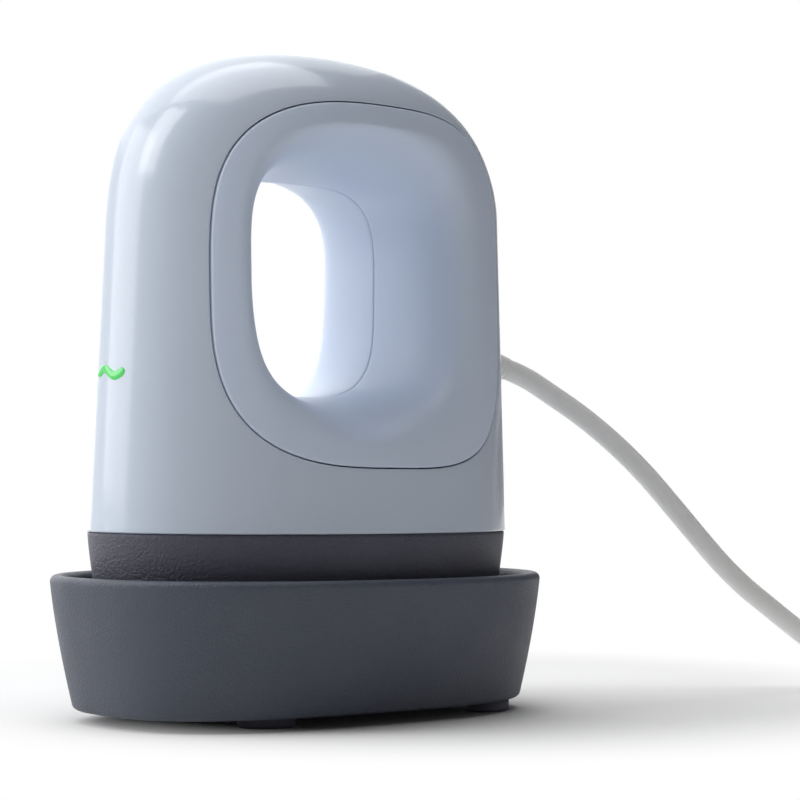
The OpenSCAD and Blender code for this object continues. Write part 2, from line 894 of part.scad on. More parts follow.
function tray_ring(z, s) =
    let (g = tray_taper((rim_z - z) / (rim_z - tray_z)))
    [for (p = ring(rim_l / 2 - (rim_l - foot_l) / 2 * g - s, rim_w / 2 - (rim_w - foot_w) / 2 * g - s,
        rim_power + (foot_power - rim_power) * g, z)) p + [tray_shift * g, 0, 0]];

module base_tray() {
    edge_r = 1;
    under = [
        for (t = [0, 30, 60])
            tray_ring(tray_z + edge_r * (1 - cos(t)), edge_r * (1 - sin(t)))
    ];
    wall_z = [for (k = [0 : 6]) tray_z + edge_r + (rim_z - 1.5 - tray_z - edge_r) * k / 6];
    rim_round = [
        for (t = [30 : 30 : 150])
            tray_ring(rim_z - 1.5 + 1.5 * sin(t), tray_wall / 2 * (1 - cos(t)))
    ];
    inner = [for (k = [6 : -1 : 1]) tray_ring(floor_z + 1.5 + (rim_z - 3 - floor_z) * k / 6, tray_wall)];
    fillet = [for (t = [0, 45, 90]) tray_ring(floor_z + 1.5 * (1 - sin(t)), tray_wall + 1.5 * (1 - cos(t)))];
    color(tray_color)
    stack(concat(under, [for (z = wall_z) tray_ring(z, 0)], rim_round, inner, fillet));
}

// The rest stays inside the heat plate's outline and clear of the tray's fillet
rest_a = min(plate_l / 2 - rest_gap, foot_l / 2 - tray_wall - 5);
rest_b = min(plate_w / 2 - rest_gap, foot_w / 2 - tray_wall - 5);

module plate_rest() {
    color([0.55, 0.57, 0.60])
    translate([0, 0, floor_z])
    difference() {
        linear_extrude(rest_t)
            polygon(outline(rest_a, rest_b, plate_power));
        for (sx = [-1, 0, 1])
            translate([sx * 24, 0, rest_t - 1])
            cylinder(d = 14, h = 2, $fn = 48);
    }
}

// The feet are ovals that turn with the tray's curve
foot_front_x = 28.9 - foot_l / 2;
foot_rear_x = foot_l / 2 - 13.9;
foot_y = foot_w / 2 - 11.4;
foot_turn = 25;

module feet() {
    edge = 0.6;
    color([0.12, 0.12, 0.13])
    for (end = [-1, 1], side = [-1, 1])
        translate([end > 0 ? foot_rear_x : foot_front_x, side * foot_y, 0])
        rotate([0, 0, -end * side * foot_turn])
        stack([
            for (level = [[0, edge], [edge, 0], [foot_h, 0]])
                ring(pad_l / 2 - level[1], pad_w / 2 - level[1], 2, level[0], 40)
        ]);
}

// ---- cord ----

// Route from the strain relief to the coil, with the way that it heads
coil_r = 31;
coil_turns = 2;
turn_pitch = cord_d + turn_gap;
layer_pitch = cord_d + layer_gap;
coil_x = 162;
coil_y = -52;
coil_z = cord_d / 2 + tie_t;
run_points = [
    [relief_end[0], 0, relief_end[1]],
    [61, -0.2, 73.4],
    [65, -0.8, 71.7],
    [70, -2, 68.8],
    [75, -3.7, 65.6],
    [80, -5.6, 61.9],
    [86, -8.1, 56.7],
    [92, -10.7, 50.6],
    [98, -13.2, 43.7],
    [104, -15.7, 36.6],
    [110, -17.9, 30],
    [116, -19.8, 24.6],
    [122, -21.4, 20.2],
    [129, -22.5, 15.6],
    [136, -22.8, 11.6],
    [143, -22.5, 8.2],
    [150, -21.8, 5.5],
    [156, -21.2, 4],
    [coil_x, coil_y + coil_r, coil_z]
];

// Smooth curve through a list of points
function pull(a, b, c, d, t) =
    0.5 * (2 * b + (c - a) * t + (2 * a - 5 * b + 4 * c - d) * t * t + (3 * b - a - 3 * c + d) * t * t * t);
function smooth(p, parts) = concat(
    [for (i = [0 : len(p) - 2], k = [0 : parts - 1])
        pull(p[max(0, i - 1)], p[i], p[i + 1], p[min(len(p) - 1, i + 2)], k / parts)],
    [p[len(p) - 1]]
);

function unit(v) = v / norm(v);

// Tube of one unbroken run along a list of points; its rings stay upright
module tube(p, d, sides, first = undef, last = undef) {
    n = len(p);
    rings = [
        for (i = [0 : n - 1])
            let (
                along = unit(i == 0 && first != undef ? first
                    : i == n - 1 && last != undef ? last
                    : p[min(n - 1, i + 1)] - p[max(0, i - 1)]),
                across = unit(cross([0, 0, 1], along)),
                up = cross(along, across)
            )
            [for (k = [0 : sides - 1])
                let (t = 360 * (k + 0.5) / sides)
                p[i] + (across * cos(t) + up * sin(t)) * d / 2]
    ];
    stack(rings);
}

module cord_run() {
    color(cord_color)
    tube(smooth(run_points, 3), cord_d, 10, [cos(relief_droop), 0, -sin(relief_droop)], [1, 0, 0]);
}

// The coil winds clockwise seen from above, in four layers: in, out, in, out
layers = 4;
layer_turns = 2.5;
total_turns = 9;
coil_inner_r = coil_r - coil_turns * turn_pitch;

// Radius and height of the winding after a number of turns
function coil_spot(t) =
    let (
        layer = min(layers - 1, floor(t / layer_turns)),
        u = t - layer * layer_turns,
        inward = layer % 2 == 0,
        spiral = min(u, coil_turns),
        climb = max(0, u - coil_turns) * 2
    )
    [
        inward ? coil_r - spiral * turn_pitch : coil_inner_r + spiral * turn_pitch,
        coil_z + (layer + climb) * layer_pitch
    ];
coil_rings = 24;
coil_points = [
    for (k = [0 : total_turns * coil_rings])
        let (t = k / coil_rings, s = coil_spot(t), a = 90 - 360 * t)
        [coil_x + s[0] * cos(a), coil_y + s[0] * sin(a), s[1]]
];

module cord_coil() {
    color(cord_color)
    tube(coil_points, cord_d, 6, [1, 0, 0], [1, 0, 0]);
}

coil_top = coil_z + (layers - 1) * layer_pitch + cord_d / 2;
coil_end = coil_points[len(coil_points) - 1];

// The plug lies on the near side of the coil; the short end rises and turns in to it
plug_rear_x = coil_x + 3;
plug_y = coil_y - 22;
plug_z = coil_top + 0.3 + plug_t / 2;
tail_points = [
    coil_end,
    [coil_x + 9.8, coil_y + 26.4, 20.4],
    [coil_x + 18.4, coil_y + 21.3, 21.4],
    [coil_x + 24.4, coil_y + 13.4, 23],
    [coil_x + 26.7, coil_y + 4.2, 25],
    [coil_x + 25.5, coil_y - 4.8, 26.8],
    [coil_x + 21.6, coil_y - 12.8, 28.3],
    [coil_x + 15.8, coil_y - 18.4, 29.4],
    [coil_x + 9.4, coil_y - 21.3, 30.1],
    [plug_rear_x, plug_y, plug_z]
];

module cord_tail() {
    color(cord_color)
    tube(smooth(tail_points, 2), cord_d, 8, [1, 0, 0], [-1, 0, 0]);
}

// Band round the bundle of turns, on the coil's left
module coil_tie() {
    slack = 0.3;
    inner = coil_inner_r - cord_d / 2 - slack;
    outer = coil_r + cord_d / 2 + slack;
    top = coil_top + slack;
    tie_w = 9;
    color([0.15, 0.15, 0.16])
    translate([coil_x, coil_y + tie_w / 2, 0])
    rotate([90, 0, 0])
    linear_extrude(tie_w)
    difference() {
        translate([-outer - tie_t, 0])
            square([outer - inner + 2 * tie_t, top + tie_t]);
        translate([-outer, tie_t])
            square([outer - inner, top - tie_t]);
    }
}

// Plug with two flat blades; it lies flat with the blades forward
module plug_body() {
    color(cord_color)
    translate([plug_rear_x, plug_y, plug_z])
    rotate([0, -90, 0])
    union() {
        hull() {
            for (sx = [-1, 1], sy = [-1, 1])
                translate([sx * (plug_t / 2 - 3), sy * (plug_w / 2 - 3), plug_l - 8])
                cylinder(r = 3, h = 8, $fn = 24);
            translate([0, 0, 8])
                cylinder(d = cord_d + 5, h = 1, $fn = 24);
        }
        cylinder(d1 = cord_d + 1.6, d2 = cord_d + 4, h = 8.5, $fn = 32);
    }
}

blade_gap = 12.7;
blade_l = 17;

module plug_blades() {
    color(steel_color)
    translate([plug_rear_x - plug_l, plug_y, plug_z])
    for (s = [-1, 1])
        translate([-blade_l, s * blade_gap / 2 - 0.75, -3.15])
        difference() {
            cube([blade_l, 1.5, 6.3]);
            translate([3, -1, 3.15])
                rotate([-90, 0, 0])
                cylinder(d = 3, h = 4, $fn = 24);
        }
}

// Least distance between turns of the coil, past the neighbours along the lead
near_steps = 12;
turn_gaps = [
    for (i = [0 : len(coil_points) - 1], k = [i + near_steps : len(coil_points) - 1])
        norm(coil_points[i] - coil_points[k])
];
echo(least_gap_of_the_coil = min(turn_gaps) - cord_d);

outer_shell();
grip_insert_left();
grip_insert_right();
skirt();
heat_plate();
heating_element();
element_clamp();
insulation_pad();
thermal_fuse();
thermistor();
chassis();
plate_screws();
control_board();
board_parts();
led_board();
led();
indicator_lens();
power_button();
button_bezel();
button_switch();
strain_relief();
cord_clamp();
clamp_screws();
base_tray();
plate_rest();
feet();
cord_run();
cord_coil();
cord_tail();
coil_tie();
plug_body();
plug_blades();
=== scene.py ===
"""Looks of a mini handheld heat press in its resting tray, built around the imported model.

Lengths in the functions are in millimetres, as in the part's source, and become
metres where a mesh is made. +X runs to the rear, -Y is the near side, +Z is up.
"""

import json
import math

import bmesh
import bpy
import numpy as np
from mathutils import Matrix, Vector


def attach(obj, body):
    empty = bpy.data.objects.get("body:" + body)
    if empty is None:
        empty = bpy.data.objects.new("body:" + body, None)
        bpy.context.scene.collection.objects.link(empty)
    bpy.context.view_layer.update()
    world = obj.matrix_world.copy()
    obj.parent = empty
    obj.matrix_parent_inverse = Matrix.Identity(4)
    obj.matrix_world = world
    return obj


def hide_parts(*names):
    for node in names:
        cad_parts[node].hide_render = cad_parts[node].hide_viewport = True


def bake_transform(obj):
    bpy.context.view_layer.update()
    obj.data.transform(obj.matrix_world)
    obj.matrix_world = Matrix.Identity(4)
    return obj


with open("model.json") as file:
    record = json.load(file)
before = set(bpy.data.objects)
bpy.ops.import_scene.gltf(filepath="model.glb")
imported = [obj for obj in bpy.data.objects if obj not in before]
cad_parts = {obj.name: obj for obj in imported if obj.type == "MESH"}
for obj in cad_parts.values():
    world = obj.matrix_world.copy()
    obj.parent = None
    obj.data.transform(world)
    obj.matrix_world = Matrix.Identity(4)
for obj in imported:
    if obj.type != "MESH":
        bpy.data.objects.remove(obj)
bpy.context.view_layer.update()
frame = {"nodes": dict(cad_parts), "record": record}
scene = bpy.context.scene
MM = 0.001  # metres in a millimetre

# ---- camera: the photograph's viewing angle ----
VIEW_YAW = math.radians(39.84)
VIEW_RISE = math.radians(1.95)
VIEW_ROLL = math.radians(0.46)
VIEW_DISTANCE = 485.08
VIEW_TARGET = (0.0, 0.0, 75.0)
VIEW_SLIDE = (20.013, -8.952)
FOCAL_PIXELS = 2298.55
FRAME_PIXELS = 800
SENSOR = 36.0


def add_camera():
    """Camera on a line through the target, slid across its own right and up directions."""
    ahead = Vector((math.sin(VIEW_YAW) * math.cos(VIEW_RISE),
                    math.cos(VIEW_YAW) * math.cos(VIEW_RISE), math.sin(VIEW_RISE)))
    level = Vector((math.cos(VIEW_YAW), -math.sin(VIEW_YAW), 0))
    upright = level.cross(ahead)
    place = (Vector(VIEW_TARGET) + level * VIEW_SLIDE[0] + upright * VIEW_SLIDE[1]
             - ahead * VIEW_DISTANCE)
    right = level * math.cos(VIEW_ROLL) + upright * math.sin(VIEW_ROLL)
    up = upright * math.cos(VIEW_ROLL) - level * math.sin(VIEW_ROLL)
    data = bpy.data.cameras.new("camera")
    data.sensor_width = SENSOR
    data.lens = FOCAL_PIXELS / FRAME_PIXELS * SENSOR
    data.clip_start = 0.01
    camera = bpy.data.objects.new("camera", data)
    turn = Matrix((right, up, -ahead)).transposed().to_4x4()
    camera.matrix_world = Matrix.Translation(place * MM) @ turn
    scene.collection.objects.link(camera)
    scene.camera = camera


add_camera()
scene.view_settings.view_transform = "Standard"

# ---- sizes, in millimetres ----
BODY_L, BODY_W, BODY_H, BODY_Z = 100.0, 60.0, 99.5, 38.4
END_DRAFT, SIDE_DRAFT, BODY_POWER = 0.04, 0.02, 2.05
FRONT_ARCH = (58.0, 3.0)
REAR_ARCH = (67.5, 2.0)
SIDE_ARCH = (80.5, 2.35)
SHELL_WALL = 2.0
SEAM_A, SEAM_B, SEAM_POWER = 38.0, 36.8, 3.3
SEAM_MID = np.array([0.4, BODY_Z + 49.8])
HOLE_A, HOLE_B, HOLE_POWER = 22.3, 22.4, 3.7
HOLE_MID = np.array([0.4 - 4.3, BODY_Z + 50.5])
BAND_W, INSERT_WALL, SEAM_GAP, EDGE_R = 4.2, 2.0, 0.25, 0.35
SCOOP_FRONT, SCOOP_REAR, SCOOP_END, SCOOP_CORNER, SCOOP_SLOPE = 2.6, 4.2, 1.5, 1.2, 0.1
SKIRT_H, SKIRT_STEP, SKIRT_WALL, SKIRT_CLEAR = 25.0, 0.3, 2.0, 0.8
PLATE_L, PLATE_W, PLATE_T, BLOCK_T, PLATE_POWER = 82.6, 48.8, 5.0, 7.0, 2.6
RIM_L, RIM_W, RIM_POWER, RIM_Z = 112.2, 75.0, 2.22, 29.6
FOOT_L, FOOT_W, FOOT_POWER = 101.6, 56.8, 2.7
TRAY_WALL, TRAY_Z, FLOOR_Z, TRAY_SHIFT = 3.0, 2.5, 6.0, 0.5
PLATE_Z = 9.0
PAD_L, PAD_W, PAD_TURN = 11.8, 8.8, 25.0
PAD_FRONT, PAD_REAR, PAD_SIDE = 28.9, 13.9, 11.4
CORD_D, TIE_T = 4.8, 0.9
EXIT_H, BUTTON_H, WAVE_H = 37.4, 64.6, 31.6
RELIEF_L, RELIEF_BEND, RELIEF_ROOT_D = 22.0, 30.0, 8.4
BUTTON_D, BUTTON_CLEAR = 11.0, 0.1
WAVE_L, WAVE_A, WAVE_W = 7.6, 0.7, 1.8
EXIT_Z, BUTTON_Z, WAVE_Z = BODY_Z + EXIT_H, BODY_Z + BUTTON_H, BODY_Z + WAVE_H
PLUG_L, PLUG_W, PLUG_T = 30.0, 22.0, 15.0


# ---- helpers for curves and meshes ----
def signed_power(v, e):
    """|v|^e with the sign of v."""
    return np.sign(v) * np.abs(v) ** e


def ring(a, b, n, z, count):
    """Superellipse |x/a|^n + |y/b|^n = 1 at height z, closed, anticlockwise from above."""
    t = np.linspace(0, 2 * np.pi, count + 1)
    x, y = a * signed_power(np.cos(t), 2 / n), b * signed_power(np.sin(t), 2 / n)
    return np.column_stack([x, y, np.full_like(x, z)])


def mesh_piece(name, patches, body, slot, drop=None):
    """One smooth mesh from grids of points in millimetres; points that meet are merged, faces turned out.

    The piece rides on the body, and its slot names its material too. drop takes the middles of
    the faces and says which ones are left out.
    """
    points, quads, start = [], [], 0
    for grid in patches:
        rows, cols = grid.shape[:2]
        index = np.arange(rows * cols).reshape(rows, cols) + start
        quads.append(np.stack([index[:-1, :-1], index[1:, :-1], index[1:, 1:], index[:-1, 1:]], -1)
                     .reshape(-1, 4))
        points.append(grid.reshape(-1, 3))
        start += rows * cols
    points, quads = np.concatenate(points), np.concatenate(quads)
    _, first, same = np.unique(np.round(points * 2e4).astype(np.int64), axis=0,
                               return_index=True, return_inverse=True)
    if drop is not None:
        quads = quads[~drop(points[quads].mean(1))]
    quads = same.reshape(-1)[quads]
    faces = []
    for quad in quads.tolist():
        face = [v for i, v in enumerate(quad) if v != quad[i - 1]]
        if len(face) > 2:
            faces.append(face)
    mesh = bpy.data.meshes.new(name)
    mesh.from_pydata((points[first] * MM).tolist(), [], faces)
    work = bmesh.new()
    work.from_mesh(mesh)
    bmesh.ops.recalc_face_normals(work, faces=work.faces)
    work.to_mesh(mesh)
    work.free()
    mesh.polygons.foreach_set("use_smooth", [True] * len(mesh.polygons))
    mesh.update()
    piece = bpy.data.objects.new(name, mesh)
    scene.collection.objects.link(piece)
    mesh.materials.append(MATERIALS[slot])
    if body:
        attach(piece, body)
    return piece


def loft(rings, cap_first=False, cap_last=False):
    """Grid through rings; a cap adds a ring shrunk to the ring's middle."""
    rings = list(rings)
    if cap_first:
        rings.insert(0, np.repeat(rings[0][:-1].mean(0)[None], len(rings[0]), 0))
    if cap_last:
        rings.append(np.repeat(rings[-1][:-1].mean(0)[None], len(rings[-1]), 0))
    return np.stack(rings)


def revolve(profile, count):
    """Grid of (radius, height) pairs turned about Z."""
    t = np.linspace(0, 2 * np.pi, count + 1)
    profile = np.array(profile, float)
    return np.stack([np.column_stack([r * np.cos(t), r * np.sin(t), np.full_like(t, z)])
                     for r, z in profile])


def rounded(corner, radius, start, end, steps):
    """Points of a quarter round about corner = (r, z), from angle start to end in degrees."""
    t = np.radians(np.linspace(start, end, steps))
    return [(corner[0] + radius * math.cos(a), corner[1] + radius * math.sin(a)) for a in t]


def follow(points, parts):
    """Catmull-Rom curve through points, each stretch cut in equal parts of its parameter."""
    p = np.array(points, float)
    a, b, c, d = (p[np.clip(np.arange(len(p) - 1) + k, 0, len(p) - 1)][:, None] for k in (-1, 0, 1, 2))
    t = (np.arange(parts) / parts)[None, :, None]
    curve = 0.5 * (2 * b + (c - a) * t + (2 * a - 5 * b + 4 * c - d) * t ** 2
                   + (3 * b - a - 3 * c + d) * t ** 3)
    return np.vstack([curve.reshape(-1, 3), p[-1:]])


def tube(path, radius, sides, first, last):
    """Rings of the given radius square to a path that starts and ends in given directions.

    Each ring's first side stays level with the floor.
    """
    along = np.gradient(path, axis=0)
    along[0], along[-1] = first, last
    along /= np.linalg.norm(along, axis=1, keepdims=True)
    across = np.cross([0, 0, 1], along)
    across /= np.linalg.norm(across, axis=1, keepdims=True)
    up = np.cross(along, across)
    t = np.linspace(0, 2 * np.pi, sides + 1)[None, :, None]
    return path[:, None] + radius * (across[:, None] * np.cos(t) + up[:, None] * np.sin(t))


# ---- route of the lead, as in the part's source ----
def arch(h, arch_shape, top):
    """(1 - t^p)^(1/p), where t runs from 0 at the arch's start to 1 at the top."""
    start, power = arch_shape
    t = np.clip((h - start) / (top - start), 0, 1)
    return np.maximum(0, 1 - t ** power) ** (1 / power)


def front_edge(h, s=0.0):
    """Reach of the front at height h of the shell and depth s: drafted half length times its arch."""
    return (BODY_L / 2 - s - END_DRAFT * h) * arch(h, FRONT_ARCH, BODY_H - s)


def rear_edge(h, s=0.0):
    """The same towards the rear."""
    return (BODY_L / 2 - s - END_DRAFT * h) * arch(h, REAR_ARCH, BODY_H - s)


def half_width(h, s=0.0):
    """The same to each side."""
    return (BODY_W / 2 - s - SIDE_DRAFT * h) * arch(h, SIDE_ARCH, BODY_H - s)


BEZEL_BACK = float(rear_edge(BUTTON_H, SHELL_WALL)) - 0.8
REAR_POST_X = BEZEL_BACK - 8.6
RELIEF_INNER_X = REAR_POST_X - 1
RELIEF_WALL_X = float(rear_edge(EXIT_H, SHELL_WALL))
RELIEF_FREE = RELIEF_L - (RELIEF_WALL_X + SHELL_WALL - RELIEF_INNER_X)
RELIEF_DROOP = RELIEF_FREE / RELIEF_BEND


def relief_spot(s):
    """Middle of the strain relief at length s: straight, then an arc that bends down."""
    straight = RELIEF_L - RELIEF_FREE
    a = np.maximum(0, s - straight) / RELIEF_BEND
    return np.stack([RELIEF_INNER_X + np.minimum(s, straight) + RELIEF_BEND * np.sin(a),
                     np.zeros_like(a), EXIT_Z - RELIEF_BEND * (1 - np.cos(a))], -1)


COIL_R, COIL_TURNS, LAYERS, LAYER_TURNS = 31.0, 2, 4, 2.5
TURN_PITCH, LAYER_PITCH = CORD_D + 1.1, CORD_D + 0.8
COIL_X, COIL_Y, COIL_Z = 162.0, -52.0, CORD_D / 2 + TIE_T
TOTAL_TURNS = 9
COIL_INNER_R = COIL_R - COIL_TURNS * TURN_PITCH
RUN_POINTS = [
    relief_spot(np.array(RELIEF_L)),
    (61, -0.2, 73.4), (65, -0.8, 71.7), (70, -2, 68.8), (75, -3.7, 65.6), (80, -5.6, 61.9),
    (86, -8.1, 56.7), (92, -10.7, 50.6), (98, -13.2, 43.7), (104, -15.7, 36.6), (110, -17.9, 30),
    (116, -19.8, 24.6), (122, -21.4, 20.2), (129, -22.5, 15.6), (136, -22.8, 11.6),
    (143, -22.5, 8.2), (150, -21.8, 5.5), (156, -21.2, 4),
    (COIL_X, COIL_Y + COIL_R, COIL_Z),
]


def coil_path(per_turn):
    """Four layers of two turns: the radius runs in and out by a pitch a turn, and half a turn climbs."""
    t = np.arange(TOTAL_TURNS * per_turn + 1) / per_turn
    layer = np.minimum(LAYERS - 1, np.floor(t / LAYER_TURNS))
    u = t - layer * LAYER_TURNS
    spiral, climb = np.minimum(u, COIL_TURNS), np.maximum(0, u - COIL_TURNS) * 2
    r = np.where(layer % 2 == 0, COIL_R - spiral * TURN_PITCH, COIL_INNER_R + spiral * TURN_PITCH)
    a = np.radians(90 - 360 * t)
    return np.column_stack([COIL_X + r * np.cos(a), COIL_Y + r * np.sin(a),
                            COIL_Z + (layer + climb) * LAYER_PITCH])


COIL_PATH = coil_path(48)
COIL_TOP = COIL_Z + (LAYERS - 1) * LAYER_PITCH + CORD_D / 2
PLUG_X, PLUG_Y, PLUG_Z = COIL_X + 3, COIL_Y - 22, COIL_TOP + 0.3 + PLUG_T / 2
TAIL_POINTS = [
    COIL_PATH[-1],
    (COIL_X + 9.8, COIL_Y + 26.4, 20.4), (COIL_X + 18.4, COIL_Y + 21.3, 21.4),
    (COIL_X + 24.4, COIL_Y + 13.4, 23), (COIL_X + 26.7, COIL_Y + 4.2, 25),
    (COIL_X + 25.5, COIL_Y - 4.8, 26.8), (COIL_X + 21.6, COIL_Y - 12.8, 28.3),
    (COIL_X + 15.8, COIL_Y - 18.4, 29.4), (COIL_X + 9.4, COIL_Y - 21.3, 30.1),
    (PLUG_X, PLUG_Y, PLUG_Z),
]
LEAD_PATH = np.vstack([follow(RUN_POINTS, 8)[:-1], COIL_PATH[:-1], follow(TAIL_POINTS, 6)])


# ---- materials ----
def make_group(name, inputs, outputs):
    """Empty shader group with named float or vector inputs and outputs."""
    group = bpy.data.node_groups.new(name, "ShaderNodeTree")
    for label, kind, value in inputs:
        socket = group.interface.new_socket(label, in_out="INPUT", socket_type=kind)
        if kind == "NodeSocketFloat":
            socket.default_value = value
    for label, kind in outputs:
        group.interface.new_socket(label, in_out="OUTPUT", socket_type=kind)
    return group, group.nodes.new("NodeGroupInput"), group.nodes.new("NodeGroupOutput")


def node(tree, kind, values=(), **options):
    """New node with its options and its unlinked sockets set."""
    made = tree.nodes.new(kind)
    for key, value in options.items():
        setattr(made, key, value)
    for key, value in dict(values).items():
        made.inputs[key].default_value = value
    return made


def math_node(tree, operation, a, b):
    """Math node; a is a socket, b a socket or a number."""
    made = tree.nodes.new("ShaderNodeMath")
    made.operation = operation
    tree.links.new(a, made.inputs[0])
    if isinstance(b, float):
        made.inputs[1].default_value = b
    else:
        tree.links.new(b, made.inputs[1])
    return made.outputs[0]


def scaled_noise(group, into, factor, detail, roughness=0.5):
    """Noise at the group's own vector, finer than the group's scale by factor."""
    noise = node(group, "ShaderNodeTexNoise", {"Detail": detail, "Roughness": roughness})
    group.links.new(into.outputs["Vector"], noise.inputs["Vector"])
    group.links.new(math_node(group, "MULTIPLY", into.outputs["Scale"], factor), noise.inputs["Scale"])
    return noise


def make_moulded_group():
    """Unevenness of moulded plastic: Tone drifts slowly, Polish finely, and Height ripples with both."""
    group, into, out = make_group(
        "moulded_unevenness",
        [("Vector", "NodeSocketVector", None), ("Scale", "NodeSocketFloat", 30.0)],
        [("Tone", "NodeSocketFloat"), ("Polish", "NodeSocketFloat"), ("Height", "NodeSocketFloat")])
    slow = scaled_noise(group, into, 1.0, 2.0, 0.45)
    fine = scaled_noise(group, into, 22.0, 3.0, 0.55)
    group.links.new(slow.outputs["Fac"], out.inputs["Tone"])
    group.links.new(fine.outputs["Fac"], out.inputs["Polish"])
    height = math_node(group, "ADD", slow.outputs["Fac"], fine.outputs["Fac"])
    group.links.new(height, out.inputs["Height"])
    return group


def make_grain_and_shade_group():
    """Leathery grain: rounded cells with soft valleys, broken up by fine noise.

    The valley mask is 1 in the valleys, where the materials darken their colour as painted shade in the
    grain's hollows, and Drift is slow unevenness.
    """
    group, into, out = make_group(
        "leathery_grain_and_shade",
        [("Vector", "NodeSocketVector", None), ("Scale", "NodeSocketFloat", 900.0)],
        [("Height", "NodeSocketFloat"), ("ValleyShade", "NodeSocketFloat"), ("Drift", "NodeSocketFloat")])
    warp = scaled_noise(group, into, 0.6, 2.0)
    shift = node(group, "ShaderNodeMix", {"Factor": 0.0012}, data_type="RGBA", blend_type="ADD")
    group.links.new(into.outputs["Vector"], shift.inputs[6])
    group.links.new(warp.outputs["Color"], shift.inputs[7])
    cells = node(group, "ShaderNodeTexVoronoi", {"Smoothness": 0.6}, feature="SMOOTH_F1")
    group.links.new(shift.outputs[2], cells.inputs["Vector"])
    group.links.new(into.outputs["Scale"], cells.inputs["Scale"])
    fine = scaled_noise(group, into, 2.2, 4.0, 0.6)
    wide = scaled_noise(group, into, 0.05, 2.0)
    low = math_node(group, "MULTIPLY", fine.outputs["Fac"], 0.5)
    height = math_node(group, "SUBTRACT", low, cells.outputs["Distance"])
    group.links.new(height, out.inputs["Height"])
    # Mask for painted shade: 1 where the cells meet, in the grain's valleys.
    ramp = node(group, "ShaderNodeMapRange", {"From Min": 0.25, "From Max": 0.75})
    group.links.new(cells.outputs["Distance"], ramp.inputs["Value"])
    group.links.new(ramp.outputs["Result"], out.inputs["ValleyShade"])
    group.links.new(wide.outputs["Fac"], out.inputs["Drift"])
    return group


def make_ground_group():
    """Fine lines along X for drawn or ground metal: noise stretched forty times along one axis."""
    group, into, out = make_group(
        "ground_lines",
        [("Vector", "NodeSocketVector", None), ("Scale", "NodeSocketFloat", 60.0)],
        [("Lines", "NodeSocketFloat"), ("Height", "NodeSocketFloat")])
    stretch = node(group, "ShaderNodeMapping", {"Scale": (1.0, 40.0, 40.0)})
    lines = node(group, "ShaderNodeTexNoise", {"Detail": 5.0, "Roughness": 0.7})
    group.links.new(into.outputs["Vector"], stretch.inputs["Vector"])
    group.links.new(stretch.outputs["Vector"], lines.inputs["Vector"])
    group.links.new(into.outputs["Scale"], lines.inputs["Scale"])
    group.links.new(lines.outputs["Fac"], out.inputs["Lines"])
    group.links.new(lines.outputs["Fac"], out.inputs["Height"])
    return group


MOULDED, GRAIN_AND_SHADE, GROUND = make_moulded_group(), make_grain_and_shade_group(), make_ground_group()
MATERIALS = {}


def finish(name, colour, roughness, group, scale, tone=0.04, rough_drift=0.04, bump=0.05,
           distance=0.0001, **sockets):
    """Principled material whose colour, roughness and bump follow one of the shared groups.

    Colour runs from colour * (1 - tone) to colour * (1 + tone), roughness moves by
    rough_drift to both sides, and distance in metres is the bump's full height.
    Further keywords name sockets of the Principled node, with _ for a space.
    MATERIALS keeps the material under its name.
    """
    material = bpy.data.materials.new(name)
    material.use_nodes = True
    tree = material.node_tree
    shader = tree.nodes["Principled BSDF"]
    where = tree.nodes.new("ShaderNodeTexCoord")
    used = tree.nodes.new("ShaderNodeGroup")
    used.node_tree = group
    used.inputs["Scale"].default_value = scale
    tree.links.new(where.outputs["Object"], used.inputs["Vector"])
    tint, polish = {MOULDED: ("Tone", "Polish"), GRAIN_AND_SHADE: ("ValleyShade", "Drift"),
                    GROUND: ("Lines", "Lines")}[group]
    dark = [c * (1 - tone) for c in colour] + [1]
    light = [min(1, c * (1 + tone)) for c in colour] + [1]
    # With the grain group the valleys take the darker colour: painted shade in the grain's hollows.
    if group is GRAIN_AND_SHADE:
        dark, light = light, dark
    mix = node(tree, "ShaderNodeMix", {6: dark, 7: light}, data_type="RGBA")
    tree.links.new(used.outputs[tint], mix.inputs["Factor"])
    tree.links.new(mix.outputs[2], shader.inputs["Base Color"])
    drift = node(tree, "ShaderNodeMapRange", {"From Min": 0.3, "From Max": 0.7,
                                              "To Min": max(0.0, roughness - rough_drift),
                                              "To Max": min(1.0, roughness + rough_drift)})
    tree.links.new(used.outputs[polish], drift.inputs["Value"])
    tree.links.new(drift.outputs["Result"], shader.inputs["Roughness"])
    dent = node(tree, "ShaderNodeBump", {"Strength": bump, "Distance": distance})
    tree.links.new(used.outputs["Height"], dent.inputs["Height"])
    tree.links.new(dent.outputs["Normal"], shader.inputs["Normal"])
    for key, value in sockets.items():
        shader.inputs[key.replace("_", " ")].default_value = value
    MATERIALS[name] = material
    return material


finish("shell_gloss", (0.57, 0.64, 0.75), 0.22, MOULDED, 30, tone=0.015, rough_drift=0.03,
       bump=0.03, distance=0.00004, Coat_Weight=0.4, Coat_Roughness=0.05)
finish("insert_satin", (0.61, 0.69, 0.83), 0.42, MOULDED, 35, tone=0.015, rough_drift=0.03,
       bump=0.06, distance=0.00004)
finish("skirt_plastic", (0.072, 0.075, 0.105), 0.5, GRAIN_AND_SHADE, 1900, tone=0.03, bump=1.0,
       distance=0.00016)
finish("plate_coating", (0.03, 0.03, 0.033), 0.38, MOULDED, 60, tone=0.08, bump=0.12,
       distance=0.00005)
finish("bright_steel", (0.60, 0.61, 0.63), 0.3, GROUND, 60, tone=0.10, rough_drift=0.08,
       bump=0.1, Metallic=1.0)
finish("pad_fibre", (0.80, 0.78, 0.72), 0.92, GRAIN_AND_SHADE, 700, tone=0.05, bump=0.5, distance=0.0003)
finish("fuse_body", (0.60, 0.50, 0.30), 0.4, MOULDED, 200, tone=0.06)
